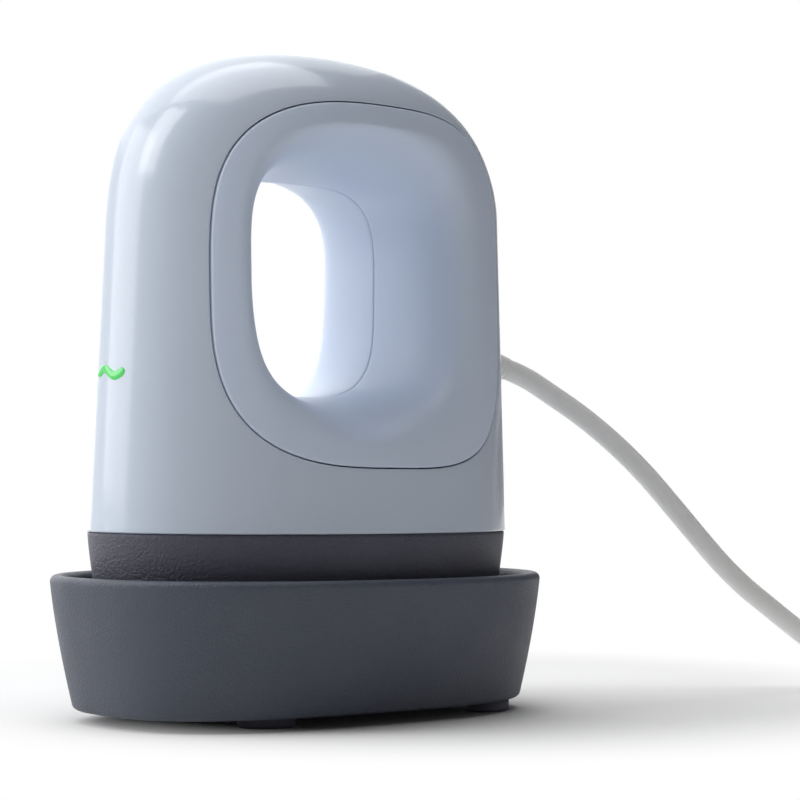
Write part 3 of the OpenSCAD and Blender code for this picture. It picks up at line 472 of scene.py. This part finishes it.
finish("sensor_resin", (0.45, 0.10, 0.05), 0.25, MOULDED, 200, tone=0.06)
finish("frame_nylon", (0.018, 0.018, 0.02), 0.5, GRAIN_AND_SHADE, 1500, tone=0.10, bump=0.2,
       distance=0.00008)
finish("board_laminate", (0.02, 0.10, 0.045), 0.3, MOULDED, 120, tone=0.10)
finish("board_plastic", (0.03, 0.06, 0.18), 0.35, MOULDED, 120, tone=0.08)
finish("led_resin", (0.55, 0.85, 0.60), 0.2, MOULDED, 200, tone=0.03)
finish("button_plastic", (0.58, 0.65, 0.76), 0.18, MOULDED, 60, tone=0.02, bump=0.03,
       distance=0.00004, Coat_Weight=0.4, Coat_Roughness=0.08)
finish("bezel_plastic", (0.44, 0.50, 0.60), 0.28, MOULDED, 60, tone=0.02, bump=0.04,
       distance=0.00004)
finish("cord_vinyl", (0.86, 0.86, 0.85), 0.5, MOULDED, 90, tone=0.03, bump=0.15,
       distance=0.00006)
finish("tray_plastic", (0.062, 0.072, 0.100), 0.5, GRAIN_AND_SHADE, 2200, tone=0.02, bump=1.0,
       distance=0.00012)
finish("rest_silicone", (0.12, 0.13, 0.15), 0.7, MOULDED, 150, tone=0.05, bump=0.15,
       distance=0.00008)
finish("foot_rubber", (0.115, 0.115, 0.15), 0.7, MOULDED, 300, tone=0.06, bump=0.2,
       distance=0.00008)
finish("tie_rubber", (0.015, 0.015, 0.017), 0.6, GRAIN_AND_SHADE, 2200, tone=0.08, bump=0.3,
       distance=0.0001)
finish("plug_vinyl", (0.84, 0.84, 0.83), 0.42, MOULDED, 90, tone=0.03, bump=0.1,
       distance=0.00006)
finish("blade_metal", (0.66, 0.65, 0.62), 0.24, GROUND, 90, tone=0.06, rough_drift=0.06,
       bump=0.08, Metallic=1.0)


def finish_lens():
    """Lit light guide: a slightly uneven green glow under a clear glossy face."""
    material = finish("lens_green", (0.04, 0.38, 0.07), 0.12, MOULDED, 300, tone=0.05,
                      rough_drift=0.02, Coat_Weight=0.5, Emission_Strength=0.45)
    tree = material.node_tree
    shader = tree.nodes["Principled BSDF"]
    glow = node(tree, "ShaderNodeTexNoise", {"Scale": 260.0, "Detail": 1.0})
    where = tree.nodes["Texture Coordinate"]
    tree.links.new(where.outputs["Object"], glow.inputs["Vector"])
    tint = node(tree, "ShaderNodeMix", {6: (0.02, 0.52, 0.06, 1), 7: (0.06, 0.74, 0.14, 1)},
                data_type="RGBA")
    tree.links.new(glow.outputs["Fac"], tint.inputs["Factor"])
    tree.links.new(tint.outputs[2], shader.inputs["Emission Color"])


finish_lens()

slot_of = {s["node"]: s["material_slot"] for s in frame["record"]["subparts"]}
for cad_name, cad_object in frame["nodes"].items():
    cad_object.data.materials.clear()
    cad_object.data.materials.append(MATERIALS[slot_of[cad_name]])


# ---- the lead ----
def add_lead():
    """The whole lead as one tube: the hanging run, the coil and the short end at the plug."""
    grid = tube(LEAD_PATH, CORD_D / 2, 18,
                (math.cos(RELIEF_DROOP), 0, -math.sin(RELIEF_DROOP)), (-1, 0, 0))
    lead = mesh_piece("lead", [loft(grid, True, True)], None, "cord_vinyl")
    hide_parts("cord_run", "cord_coil", "cord_tail")
    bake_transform(lead)
    return lead


def add_relief():
    """Tapered sleeve along the relief's arc, ringed by five shallow slots."""
    flange = RELIEF_WALL_X - RELIEF_INNER_X
    inner, root = CORD_D / 2 + 1, RELIEF_ROOT_D / 2
    slot_count, slot_depth = 5, 0.45
    s0 = flange + SHELL_WALL
    u = np.linspace(0, 1, 90)
    sleeve = CORD_D / 2 + 0.15 + (root - 0.65 - CORD_D / 2) * (1 - u) ** 1.6
    slots = slot_depth * (0.5 - 0.5 * np.cos(2 * np.pi * u * slot_count)) ** 6 * (1 - u) ** 0.5
    s = np.concatenate([[0, 0, flange - 2.6, flange - 2.6, flange - 0.9, flange - 0.9,
                         s0 + 0.4, s0 + 0.8, s0 + 1.1], s0 + 1.2 + (RELIEF_FREE - 1.2) * u, [RELIEF_L]])
    r = np.concatenate([[0.0, inner, inner, root + 1.2, root + 1.2, root,
                         root, root - 0.1, root - 0.35], sleeve - slots, [0.0]])
    path = relief_spot(s)
    a = np.maximum(0, s - (RELIEF_L - RELIEF_FREE)) / RELIEF_BEND
    t = np.linspace(0, 2 * np.pi, 49)[None, :]
    grid = np.stack([path[:, 0:1] + r[:, None] * np.sin(t) * np.sin(a)[:, None],
                     r[:, None] * np.cos(t),
                     path[:, 2:3] + r[:, None] * np.sin(t) * np.cos(a)[:, None]], -1)
    relief = mesh_piece("relief_sleeve", [grid], "press", "cord_vinyl")
    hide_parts("strain_relief")
    return relief


def add_plug():
    """Superellipse sections along the plug: a neck, a swelling grip with ridges, a square face."""
    u = np.linspace(0, 1, 120)
    grow = np.clip(u / 0.42, 0, 1)
    swell = grow * grow * (3 - 2 * grow)
    neck, face_edge = CORD_D / 2 + 1.2, 1.0
    ridge_h, ridge_waves, ridge_middle, ridge_reach = 0.35, 14, 0.62, 0.21
    ridges = (ridge_h * np.maximum(0, np.sin(2 * np.pi * u * ridge_waves))
              * (np.abs(u - ridge_middle) < ridge_reach))
    half_y = neck + (PLUG_W / 2 - 0.4 - neck) * swell - ridges
    half_z = neck + (PLUG_T / 2 - 0.3 - neck) * swell
    close = face_edge * np.clip((u - 0.96) / 0.04, 0, 1) ** 2
    half_y, half_z = half_y - close, half_z - close
    power = 2 + 2.2 * swell
    t = np.linspace(0, 2 * np.pi, 97)
    rings = [np.column_stack([np.full_like(t, PLUG_X - PLUG_L * k),
                              PLUG_Y + b * signed_power(np.cos(t), 2 / n),
                              PLUG_Z + c * signed_power(np.sin(t), 2 / n)])
             for k, b, c, n in zip(u, half_y, half_z, power)]
    plug = mesh_piece("plug_moulding", [loft(rings, True, True)], "base", "plug_vinyl")
    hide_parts("plug_body")
    return plug


def add_tie():
    """Soft strap: a thin rounded band carried round the coil's bundle of turns."""
    slack, half_band, power = 0.3, 4.5, 9.0
    lo, hi = COIL_X - COIL_R - CORD_D / 2 - slack, COIL_X - COIL_INNER_R + CORD_D / 2 + slack
    top = COIL_TOP + slack
    mid = np.array([(lo + hi) / 2, COIL_Y, (top + TIE_T) / 2])
    half_x, half_z = (hi - lo + TIE_T) / 2, top / 2
    t = np.linspace(0, 2 * np.pi, 161)
    loop = np.column_stack([half_x * signed_power(np.cos(t), 2 / power), np.zeros_like(t),
                            half_z * signed_power(np.sin(t), 2 / power)])
    out = np.gradient(loop, axis=0)
    out[0] = out[-1] = loop[1] - loop[-2]
    out = np.column_stack([out[:, 2], out[:, 1], -out[:, 0]])
    out /= np.linalg.norm(out, axis=1, keepdims=True)
    q = np.linspace(0, 2 * np.pi, 41)
    side = half_band * signed_power(np.cos(q), 0.25)
    thick = TIE_T * 0.42 * signed_power(np.sin(q), 0.6)
    grid = (mid + loop)[:, None] + out[:, None] * thick[None, :, None]
    grid[..., 1] += side[None]
    tie = mesh_piece("coil_strap", [grid], "base", "tie_rubber")
    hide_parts("coil_tie")
    return tie


lead = add_lead()
relief_sleeve = add_relief()
plug_moulding = add_plug()
coil_strap = add_tie()


# ---- form of the shell and its inserts ----
SIDE_STEPS, ARCH_STEPS, BASE_STEPS = 24, 60, 120


def skin_y(x, z, s=0.0):
    """Half width of the shell over (x, z) at depth s: half_width * (1 - u^p)^(1/p).

    u runs from 0 at mid-length to 1 at both ends.
    """
    h = z - BODY_Z
    front, rear = front_edge(h, s), rear_edge(h, s)
    u = np.clip(np.abs(x - (rear - front) / 2) / np.maximum(1e-3, (front + rear) / 2), 0, 1)
    return half_width(h, s) * (1 - u ** BODY_POWER) ** (1 / BODY_POWER)


def polar_r(d, a, b, n):
    """Distance from the middle of a superellipse to its edge along unit directions d."""
    return ((np.abs(d[..., 0]) / a) ** n + (np.abs(d[..., 1]) / b) ** n) ** (-1 / n)


def seam_point(p, grow=0.0):
    """Point of the seam that lies towards p, moved outwards by grow."""
    d = p - SEAM_MID
    d = d / np.linalg.norm(d, axis=-1, keepdims=True)
    return SEAM_MID + d * (polar_r(d, SEAM_A, SEAM_B, SEAM_POWER) + grow)[..., None]


def side_outline(s, low):
    """Side view of the shell at depth s: up the front from height low, over the top, down, and back.

    The number of points before the way back comes with it.
    """
    t = np.radians(np.linspace(0, 90, ARCH_STEPS + 1))
    top = BODY_H - s
    front = np.concatenate([
        np.linspace(low, FRONT_ARCH[0], SIDE_STEPS + 1)[:-1],
        FRONT_ARCH[0] + (top - FRONT_ARCH[0]) * np.sin(t[:-1]) ** (2 / FRONT_ARCH[1])])
    rear = np.concatenate([
        REAR_ARCH[0] + (top - REAR_ARCH[0]) * np.sin(t[::-1]) ** (2 / REAR_ARCH[1]),
        np.linspace(REAR_ARCH[0], low, SIDE_STEPS + 1)[1:]])
    base = base_edge(s, low)[1:]
    x = np.concatenate([-front_edge(front, s), rear_edge(rear, s), base[:, 0]])
    h = np.concatenate([front, rear, np.full(len(base), low)])
    return np.column_stack([x, BODY_Z + h]), len(front) + len(rear)


def base_edge(s, low):
    """Near half of the shell's level outline at height low and depth s, from the rear to the front."""
    t = np.radians(np.linspace(0, 180, BASE_STEPS + 1))
    front, rear = front_edge(low, s), rear_edge(low, s)
    x = (rear - front) / 2 + (rear + front) / 2 * np.cos(t)
    y = half_width(low, s) * np.maximum(0, 1 - np.abs(np.cos(t)) ** BODY_POWER) ** (1 / BODY_POWER)
    return np.column_stack([x, -y, np.full_like(x, BODY_Z + low)])


def on_skin(plane, s=0.0):
    """Near-side points of the shell at depth s over points (x, z) of the middle plane."""
    return np.stack([plane[..., 0], -skin_y(plane[..., 0], plane[..., 1], s), plane[..., 1]], -1)


def both_sides(grids):
    """The grids and their mirror images across the middle plane."""
    return grids + [grid * (1, -1, 1) for grid in grids]


def add_shell():
    """Arched body: straight lines in side view run from the seam out to the outline, lifted onto the skin.

    The seam and the lower edge are rounded by EDGE_R, and the wall returns inwards at both.
    """
    outer, spine = side_outline(0, EDGE_R)
    inner, _ = side_outline(SHELL_WALL, 0)
    theta = np.radians(np.linspace(90, 0, 6))
    rows = [on_skin(seam_point(outer), SHELL_WALL)]
    rows += [on_skin(seam_point(outer, EDGE_R * (1 - math.sin(a))), EDGE_R * (1 - math.cos(a)))
             for a in theta]
    start = seam_point(outer, EDGE_R)
    for f in np.sin(np.radians(np.linspace(0, 90, 45)))[1:]:
        rows.append(on_skin(start + (outer - start) * f))
    rows[-1][:spine, 1] = 0
    edge = [base_edge(EDGE_R * (1 - math.cos(a)), EDGE_R * (1 - math.sin(a)))
            for a in theta[::-1]] + [base_edge(SHELL_WALL, 0)]
    lining = [on_skin(seam_point(outer) + (inner - seam_point(outer)) * f, SHELL_WALL)
              for f in np.sin(np.radians(np.linspace(0, 90, 10)))]
    lining[-1][:spine, 1] = 0

    def in_bezel(middle):
        far = np.hypot(middle[:, 1], middle[:, 2] - BUTTON_Z)
        return (middle[:, 0] > 0) & (far < BUTTON_D / 2 + 0.8)
    shell = mesh_piece("shell_body", both_sides([loft(rows), loft(edge), loft(lining)]), "press",
                       "shell_gloss", drop=in_bezel)
    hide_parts("outer_shell")


def add_grip(name, node_name, sign):
    """Scooped lining of the hand hole: superellipse sections round the hole, a flat band, a rounded seam.

    At each angle t round the hole the section is (1 - reach)^p + width^p = 1, where p is the
    scoop's fullness towards t, and width 1 lies on the shell's skin. Towards the front and the
    rear a tenth of the reach is a plain slope instead.
    """
    t = np.linspace(0, 2 * np.pi, 361)
    d = np.column_stack([np.cos(t), np.sin(t)])
    p = (np.where(np.cos(t) < 0, SCOOP_FRONT, SCOOP_REAR) * np.cos(t) ** 2
         + SCOOP_END * np.sin(t) ** 2 + SCOOP_CORNER * (np.sin(t) < 0) * np.sin(2 * t) ** 2)
    slope = SCOOP_SLOPE * np.cos(t) ** 2

    def section(reach, width, s):
        throat = HOLE_MID + d * (polar_r(d, HOLE_A, HOLE_B, HOLE_POWER) + s)[:, None]
        edge = seam_point(throat, -SEAM_GAP)
        span = np.linalg.norm(edge - throat, axis=1)
        c = throat + (edge - throat) * (reach(span) / span)[:, None]
        return np.column_stack([c[:, 0], -skin_y(c[:, 0], c[:, 1], s) * width, c[:, 1]])

    def scoop(k, s):
        """k runs from 0 at the throat to 1 at the band; even steps in width, then in reach."""
        middle = 0.5 ** (1 / p)
        width = np.where(k < 0.5, middle * 2 * k, 0)
        near = np.where(k < 0.5, (1 - width ** p) ** (1 / p), middle * (2 - 2 * k))
        width = np.where(k < 0.5, width, (1 - near ** p) ** (1 / p))
        return section(lambda span: (span - BAND_W) * ((1 - slope) * (1 - near) + slope * width), width, s)

    throat = scoop(0.0, 0.0)
    groove = [throat + np.column_stack([d[:, 0] * out, np.full(len(t), -y), d[:, 1] * out])
              for y, out in ((0, 0.25), (0.10, 0.13), (0.20, 0.04), (0.32, 0.0))]
    rows = groove + [scoop(k, 0.0) for k in np.linspace(0, 1, 73)[2:]]
    rows += [section(lambda span: span - BAND_W + (BAND_W - EDGE_R) * k, 1, 0) for k in (0.25, 0.5, 0.75)]
    rows += [section(lambda span: span - EDGE_R * (1 - math.sin(a)), 1, EDGE_R * (1 - math.cos(a)))
             for a in np.radians(np.linspace(0, 90, 6))]
    rows += [section(lambda span: span, 1, INSERT_WALL)]
    rows += [scoop(k, INSERT_WALL) for k in np.linspace(1, 0, 13)] + [rows[0]]
    lining = mesh_piece(name, [np.stack(rows) * (1, sign, 1)], "press", "insert_satin")
    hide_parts(node_name)


def skirt_ring(depth, s):
    """Outline of the skirt at a depth below the shell: draws in as depth^1.4, from oval to boxier."""
    u = depth / SKIRT_H

    def size(shell, plate):
        top, foot = shell - SKIRT_STEP, plate + SKIRT_CLEAR + SKIRT_WALL
        return top + (foot - top) * max(0.0, u) ** 1.4 - s
    return ring(size(BODY_L / 2, PLATE_L / 2), size(BODY_W / 2, PLATE_W / 2),
                BODY_POWER + (PLATE_POWER - BODY_POWER) * u ** 3, BODY_Z - depth, 360)


def add_skirt():
    """Skirt that flares up from the heat plate to the shell, rounded at its lower edge."""
    r = SKIRT_WALL / 2
    rows = [skirt_ring(SKIRT_H - r + r * math.sin(a), r * (1 - math.cos(a)))
            for a in np.radians(np.linspace(180, 0, 13))]
    rows += [skirt_ring(k, 0) for k in np.linspace(SKIRT_H - r, 0.3, 40)[1:]]
    rows += [skirt_ring(0, 0.3), skirt_ring(0, SKIRT_WALL), skirt_ring(3, SKIRT_WALL),
             skirt_ring(3, SKIRT_WALL + 3), skirt_ring(5, SKIRT_WALL + 3)]
    rows += [skirt_ring(k, SKIRT_WALL) for k in np.linspace(7, SKIRT_H - r, 8)]
    skirt = mesh_piece("skirt_flare", [np.stack(rows)], "press", "skirt_plastic")
    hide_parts("skirt")


def add_heat_plate():
    """Cast plate with a rounded sole edge, and the step of the narrower block on its back."""
    def level(z, inset):
        return ring(PLATE_L / 2 - inset, PLATE_W / 2 - inset, PLATE_POWER, z, 240)
    r, top = 1.2, PLATE_Z + PLATE_T
    rows = [level(PLATE_Z + r * (1 - math.cos(a)), r * (1 - math.sin(a)))
            for a in np.radians(np.linspace(0, 90, 8))]
    rows += [level(top - 0.4, 0), level(top, 0.4), level(top, 2.4), level(top + 0.3, 2.5)]
    rows += [level(top + BLOCK_T - 6.7, 2.5)]
    plate = mesh_piece("plate_casting", [loft(rows, True, True)], "press", "plate_coating")
    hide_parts("heat_plate")


def tray_ring(z, s):
    """Outline of the tray: it draws in as the 1.2nd power of the depth, a little more at the front."""
    g = max(0.0, (RIM_Z - z) / (RIM_Z - TRAY_Z)) ** 1.2
    level = ring(RIM_L / 2 - (RIM_L - FOOT_L) / 2 * g - s, RIM_W / 2 - (RIM_W - FOOT_W) / 2 * g - s,
                 RIM_POWER + (FOOT_POWER - RIM_POWER) * g, z, 360)
    return level + (TRAY_SHIFT * g, 0, 0)


def add_tray():
    """Tray with a rounded rim, a filleted floor and a rounded lower edge."""
    edge, lip, fillet = 1.0, TRAY_WALL / 2, 1.5
    rows = [tray_ring(TRAY_Z + edge * (1 - math.cos(a)), edge * (1 - math.sin(a)))
            for a in np.radians(np.linspace(0, 90, 9))]
    rows += [tray_ring(z, 0) for z in np.linspace(TRAY_Z + edge, RIM_Z - lip, 36)[1:]]
    rows += [tray_ring(RIM_Z - lip + lip * math.sin(a), lip * (1 - math.cos(a)))
             for a in np.radians(np.linspace(0, 180, 17))[1:]]
    rows += [tray_ring(z, TRAY_WALL) for z in np.linspace(RIM_Z - lip, FLOOR_Z + fillet, 24)[1:]]
    rows += [tray_ring(FLOOR_Z + fillet * (1 - math.sin(a)), TRAY_WALL + fillet * (1 - math.cos(a)))
             for a in np.radians(np.linspace(0, 90, 7))[1:]]
    tray = mesh_piece("tray_shell", [loft(rows, True, True)], "base", "tray_plastic")
    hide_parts("base_tray")


def add_rest():
    """Pad under the heat plate: rounded edge, three round recesses with soft edges."""
    a, b, thick, r = FOOT_L / 2 - 8, FOOT_W / 2 - 8, 3.0, 0.7
    a, b = min(a, PLATE_L / 2 - 0.6), min(b, PLATE_W / 2 - 0.6)

    def level(z, inset, scale=1.0):
        return ring((a - inset) * scale, (b - inset) * scale, PLATE_POWER, FLOOR_Z + z, 300)
    rows = [level(0, 0)] + [level(thick - r + r * math.sin(q), r * (1 - math.cos(q)))
                            for q in np.radians(np.linspace(0, 90, 7))]
    rows += [level(thick, r, k) for k in np.linspace(1, 0.004, 96)[1:]]
    top = loft(rows, True, True)
    recess_r, soft, deep = 7.3, 0.6, 1.0
    near = np.min([np.hypot(top[..., 0] - x, top[..., 1]) for x in (-24, 0, 24)], axis=0)
    dip = np.clip((recess_r - near) / soft, 0, 1)
    top[8:, :, 2] -= (deep * dip * dip * (3 - 2 * dip))[8:]
    rest = mesh_piece("rest_pad", [top], "base", "rest_silicone")
    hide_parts("plate_rest")


def add_feet():
    """Four oval feet that turn with the tray's curve, each with a rounded lower edge."""
    edge = 0.7
    steps = np.radians(np.linspace(0, 90, 7))
    rows = [ring(PAD_L / 2 - edge * (1 - math.sin(a)), PAD_W / 2 - edge * (1 - math.sin(a)), 2,
                 edge * (1 - math.cos(a)), 72) for a in steps]
    foot = loft(rows + [ring(PAD_L / 2, PAD_W / 2, 2, TRAY_Z - 0.02, 72)], True, True)
    grids = []
    for end, x in ((-1, PAD_FRONT - FOOT_L / 2), (1, FOOT_L / 2 - PAD_REAR)):
        for side in (-1, 1):
            a = math.radians(-end * side * PAD_TURN)
            turned = foot @ np.array([[math.cos(a), math.sin(a), 0], [-math.sin(a), math.cos(a), 0],
                                      [0, 0, 1]])
            grids.append(turned + (x, side * (FOOT_W / 2 - PAD_SIDE), 0))
    feet = mesh_piece("foot_pads", grids, "base", "foot_rubber")
    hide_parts("feet")


def on_rear(grid):
    """A piece turned about Z is laid down: its axis runs along X through the button's middle."""
    return np.stack([grid[..., 2], grid[..., 0], grid[..., 1] + BUTTON_Z], -1)


def add_button():
    """Round key with a dished face and a soft rim, its flange and its stem."""
    face, back, stem_end = float(rear_edge(BUTTON_H)) + 0.6, BEZEL_BACK - 0.2, REAR_POST_X + 6.0
    r, stem_r, flange, edge, dip = BUTTON_D / 2, 1.7, 0.8, 0.7, 0.45
    profile = [(0, stem_end), (stem_r, stem_end), (stem_r, back - 1),
               (r + flange, back - 1), (r + flange, back), (r, back)]
    profile += rounded((r - edge, face - edge), edge, 0, 90, 8)
    dish_r = r - 1.1
    profile += [(k, face - dip * (1 - (k / dish_r) ** 2)) for k in np.linspace(dish_r, 0, 16)]
    key = mesh_piece("button_key", [on_rear(revolve(profile, 96))], "button", "button_plastic")
    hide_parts("power_button")


def add_bezel():
    """Ring round the key with a rounded front."""
    front = float(rear_edge(BUTTON_H)) + 0.3
    inner, outer = BUTTON_D / 2 + BUTTON_CLEAR, BUTTON_D / 2 + 1.5
    profile = [(inner, BEZEL_BACK), (outer, BEZEL_BACK)]
    profile += rounded((outer - 0.5, front - 0.5), 0.5, 0, 90, 6)
    profile += rounded((inner + 0.25, front - 0.25), 0.25, 90, 180, 6) + [(inner, BEZEL_BACK)]
    bezel = mesh_piece("key_bezel", [on_rear(revolve(profile, 96))], "press", "bezel_plastic")
    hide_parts("button_bezel")


def add_wave():
    """Lit wave with round ends, domed over the shell's skin.

    The stroke runs along z = -A sin(2 pi u), where u = y / L + 1/2.
    """
    ends = np.radians(np.linspace(88, 4, 10))
    u = np.concatenate([np.zeros(10), np.linspace(0, 1, 61), np.ones(10)])
    past = np.concatenate([-np.sin(ends), np.zeros(61), np.sin(ends[::-1])]) * WAVE_W / 2
    half = np.concatenate([np.cos(ends), np.ones(61), np.cos(ends[::-1])]) * WAVE_W / 2
    slope = -WAVE_A * 2 * np.pi * np.cos(2 * np.pi * u) / WAVE_L
    along = np.column_stack([np.ones_like(u), slope]) / np.hypot(1, slope)[:, None]
    across = np.column_stack([-along[:, 1], along[:, 0]])
    line = np.column_stack([WAVE_L * (u - 0.5), -WAVE_A * np.sin(2 * np.pi * u)]) + along * past[:, None]
    q = np.radians(np.linspace(180, 0, 17))
    wide = np.concatenate([-np.ones(1), np.cos(q), np.ones(1)])
    lift = np.concatenate([[-3.0], 0.45 * np.sin(q) ** 0.6 - 0.15, [-3.0]])
    wide, lift = np.append(wide, wide[0]), np.append(lift, lift[0])
    place = line[:, None] + across[:, None] * (half[:, None] * wide[None])[..., None]
    h = place[..., 1] + WAVE_Z - BODY_Z
    front, rear = front_edge(h), rear_edge(h)
    part = np.clip(np.abs(place[..., 0]) / half_width(h), 0, 1)
    skin = (front + rear) / 2 * (1 - part ** BODY_POWER) ** (1 / BODY_POWER) - (rear - front) / 2
    grid = np.stack([-skin - lift[None], place[..., 0], place[..., 1] + WAVE_Z], -1)
    wave = mesh_piece("wave_light", [loft(grid, True, True)], "press", "lens_green")
    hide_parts("indicator_lens")


add_shell()
add_grip("grip_lining_left", "grip_insert_left", 1)
add_grip("grip_lining_right", "grip_insert_right", -1)
add_skirt()
add_heat_plate()
add_tray()
add_rest()
add_feet()
add_button()
add_bezel()
add_wave()


# ---- floor, lamps and world, in metres ----
SHADOW_MIDDLE, SHADOW_INNER, SHADOW_OUTER = (0.052, 0.03, 0.0), 0.085, 0.145
FLOOR_REACH = 8.0


def smooth_step(tree, value, low, high):
    """0 below low, 1 above high and a smooth rise between them."""
    step = node(tree, "ShaderNodeMapRange", {"From Min": low, "From Max": high},
                interpolation_type="SMOOTHSTEP")
    tree.links.new(value, step.inputs["Value"])
    return step.outputs["Result"]


def add_stage():
    """Pale floor; outside the object's own shadow it glows white, to meet the white world.

    The glow is for camera, glossy and transmission rays alone, so it lights nothing.
    """
    material = bpy.data.materials.new("floor")
    material.use_nodes = True
    tree = material.node_tree
    shader = tree.nodes["Principled BSDF"]
    shader.inputs["Base Color"].default_value = (0.88, 0.88, 0.88, 1)
    shader.inputs["Roughness"].default_value = 0.9
    shader.inputs["Specular IOR Level"].default_value = 0.0
    glow = node(tree, "ShaderNodeEmission", {"Strength": 1.0})
    path = tree.nodes.new("ShaderNodeLightPath")
    where = tree.nodes.new("ShaderNodeTexCoord")
    far = node(tree, "ShaderNodeVectorMath", {1: SHADOW_MIDDLE}, operation="DISTANCE")
    tree.links.new(where.outputs["Object"], far.inputs[0])
    fade = smooth_step(tree, far.outputs["Value"], SHADOW_INNER, SHADOW_OUTER)
    seen = math_node(tree, "MAXIMUM", path.outputs["Is Camera Ray"], path.outputs["Is Glossy Ray"])
    seen = math_node(tree, "MAXIMUM", seen, path.outputs["Is Transmission Ray"])
    mix = tree.nodes.new("ShaderNodeMixShader")
    tree.links.new(math_node(tree, "MULTIPLY", seen, fade), mix.inputs[0])
    tree.links.new(shader.outputs[0], mix.inputs[1])
    tree.links.new(glow.outputs[0], mix.inputs[2])
    tree.links.new(mix.outputs[0], tree.nodes["Material Output"].inputs[0])
    mesh = bpy.data.meshes.new("floor")
    corners = ((-1, -1), (1, -1), (1, 1), (-1, 1))
    mesh.from_pydata([(x * FLOOR_REACH, y * FLOOR_REACH, 0) for x, y in corners], [], [(0, 1, 2, 3)])
    mesh.materials.append(material)
    floor = bpy.data.objects.new("floor", mesh)
    scene.collection.objects.link(floor)


def add_lamp(name, place, aim, size, energy):
    """Rectangular soft lamp at place, turned towards aim."""
    data = bpy.data.lights.new(name, "AREA")
    data.shape = "RECTANGLE"
    data.size, data.size_y = size
    data.energy = energy
    lamp = bpy.data.objects.new(name, data)
    lamp.location = place
    lamp.rotation_euler = (Vector(aim) - Vector(place)).to_track_quat("-Z", "Y").to_euler()
    scene.collection.objects.link(lamp)


def add_light():
    """Soft lamps from the left, above and behind; what faces the camera gets only weak room light.

    The world is white to the camera, and gloss sees it white behind the object and dim before it.
    """
    add_lamp("left_behind", (-0.80, 0.62, 0.42), (0, 0, 0.08), (0.8, 0.7), 3.9)
    add_lamp("high_left", (-0.72, 0.2, 0.62), (0, 0, 0.08), (0.35, 0.5), 2.2)
    add_lamp("overhead", (-0.1, 0.0, 1.0), (0, 0, 0), (0.9, 0.9), 5.6)
    add_lamp("high_behind", (0.1, 0.6, 0.8), (0, 0, 0), (1.3, 0.9), 2.8)
    add_lamp("behind", (0.4, 0.9, 0.3), (0, 0, 0.08), (1.1, 0.9), 3.6)
    world = bpy.data.worlds.new("studio")
    scene.world = world
    world.use_nodes = True
    tree = world.node_tree
    shade = tree.nodes["Background"]
    shade.inputs["Color"].default_value = (1, 1, 1, 1)
    shade.inputs["Strength"].default_value = 0.1
    white = node(tree, "ShaderNodeBackground", {"Color": (1, 1, 1, 1), "Strength": 1.0})
    path = tree.nodes.new("ShaderNodeLightPath")
    way = tree.nodes.new("ShaderNodeTexCoord")
    depth = node(tree, "ShaderNodeVectorMath", {1: (-0.45, 0.89, 0.1)}, operation="DOT_PRODUCT")
    tree.links.new(way.outputs["Generated"], depth.inputs[0])
    behind = smooth_step(tree, depth.outputs["Value"], -0.2, 0.9)
    shine = math_node(tree, "MULTIPLY", path.outputs["Is Glossy Ray"], behind)
    seen = math_node(tree, "MAXIMUM", path.outputs["Is Camera Ray"], path.outputs["Is Transmission Ray"])
    seen = math_node(tree, "MAXIMUM", seen, shine)
    mix = tree.nodes.new("ShaderNodeMixShader")
    tree.links.new(seen, mix.inputs[0])
    tree.links.new(shade.outputs[0], mix.inputs[1])
    tree.links.new(white.outputs[0], mix.inputs[2])
    tree.links.new(mix.outputs[0], tree.nodes["World Output"].inputs[0])


add_stage()
add_light()
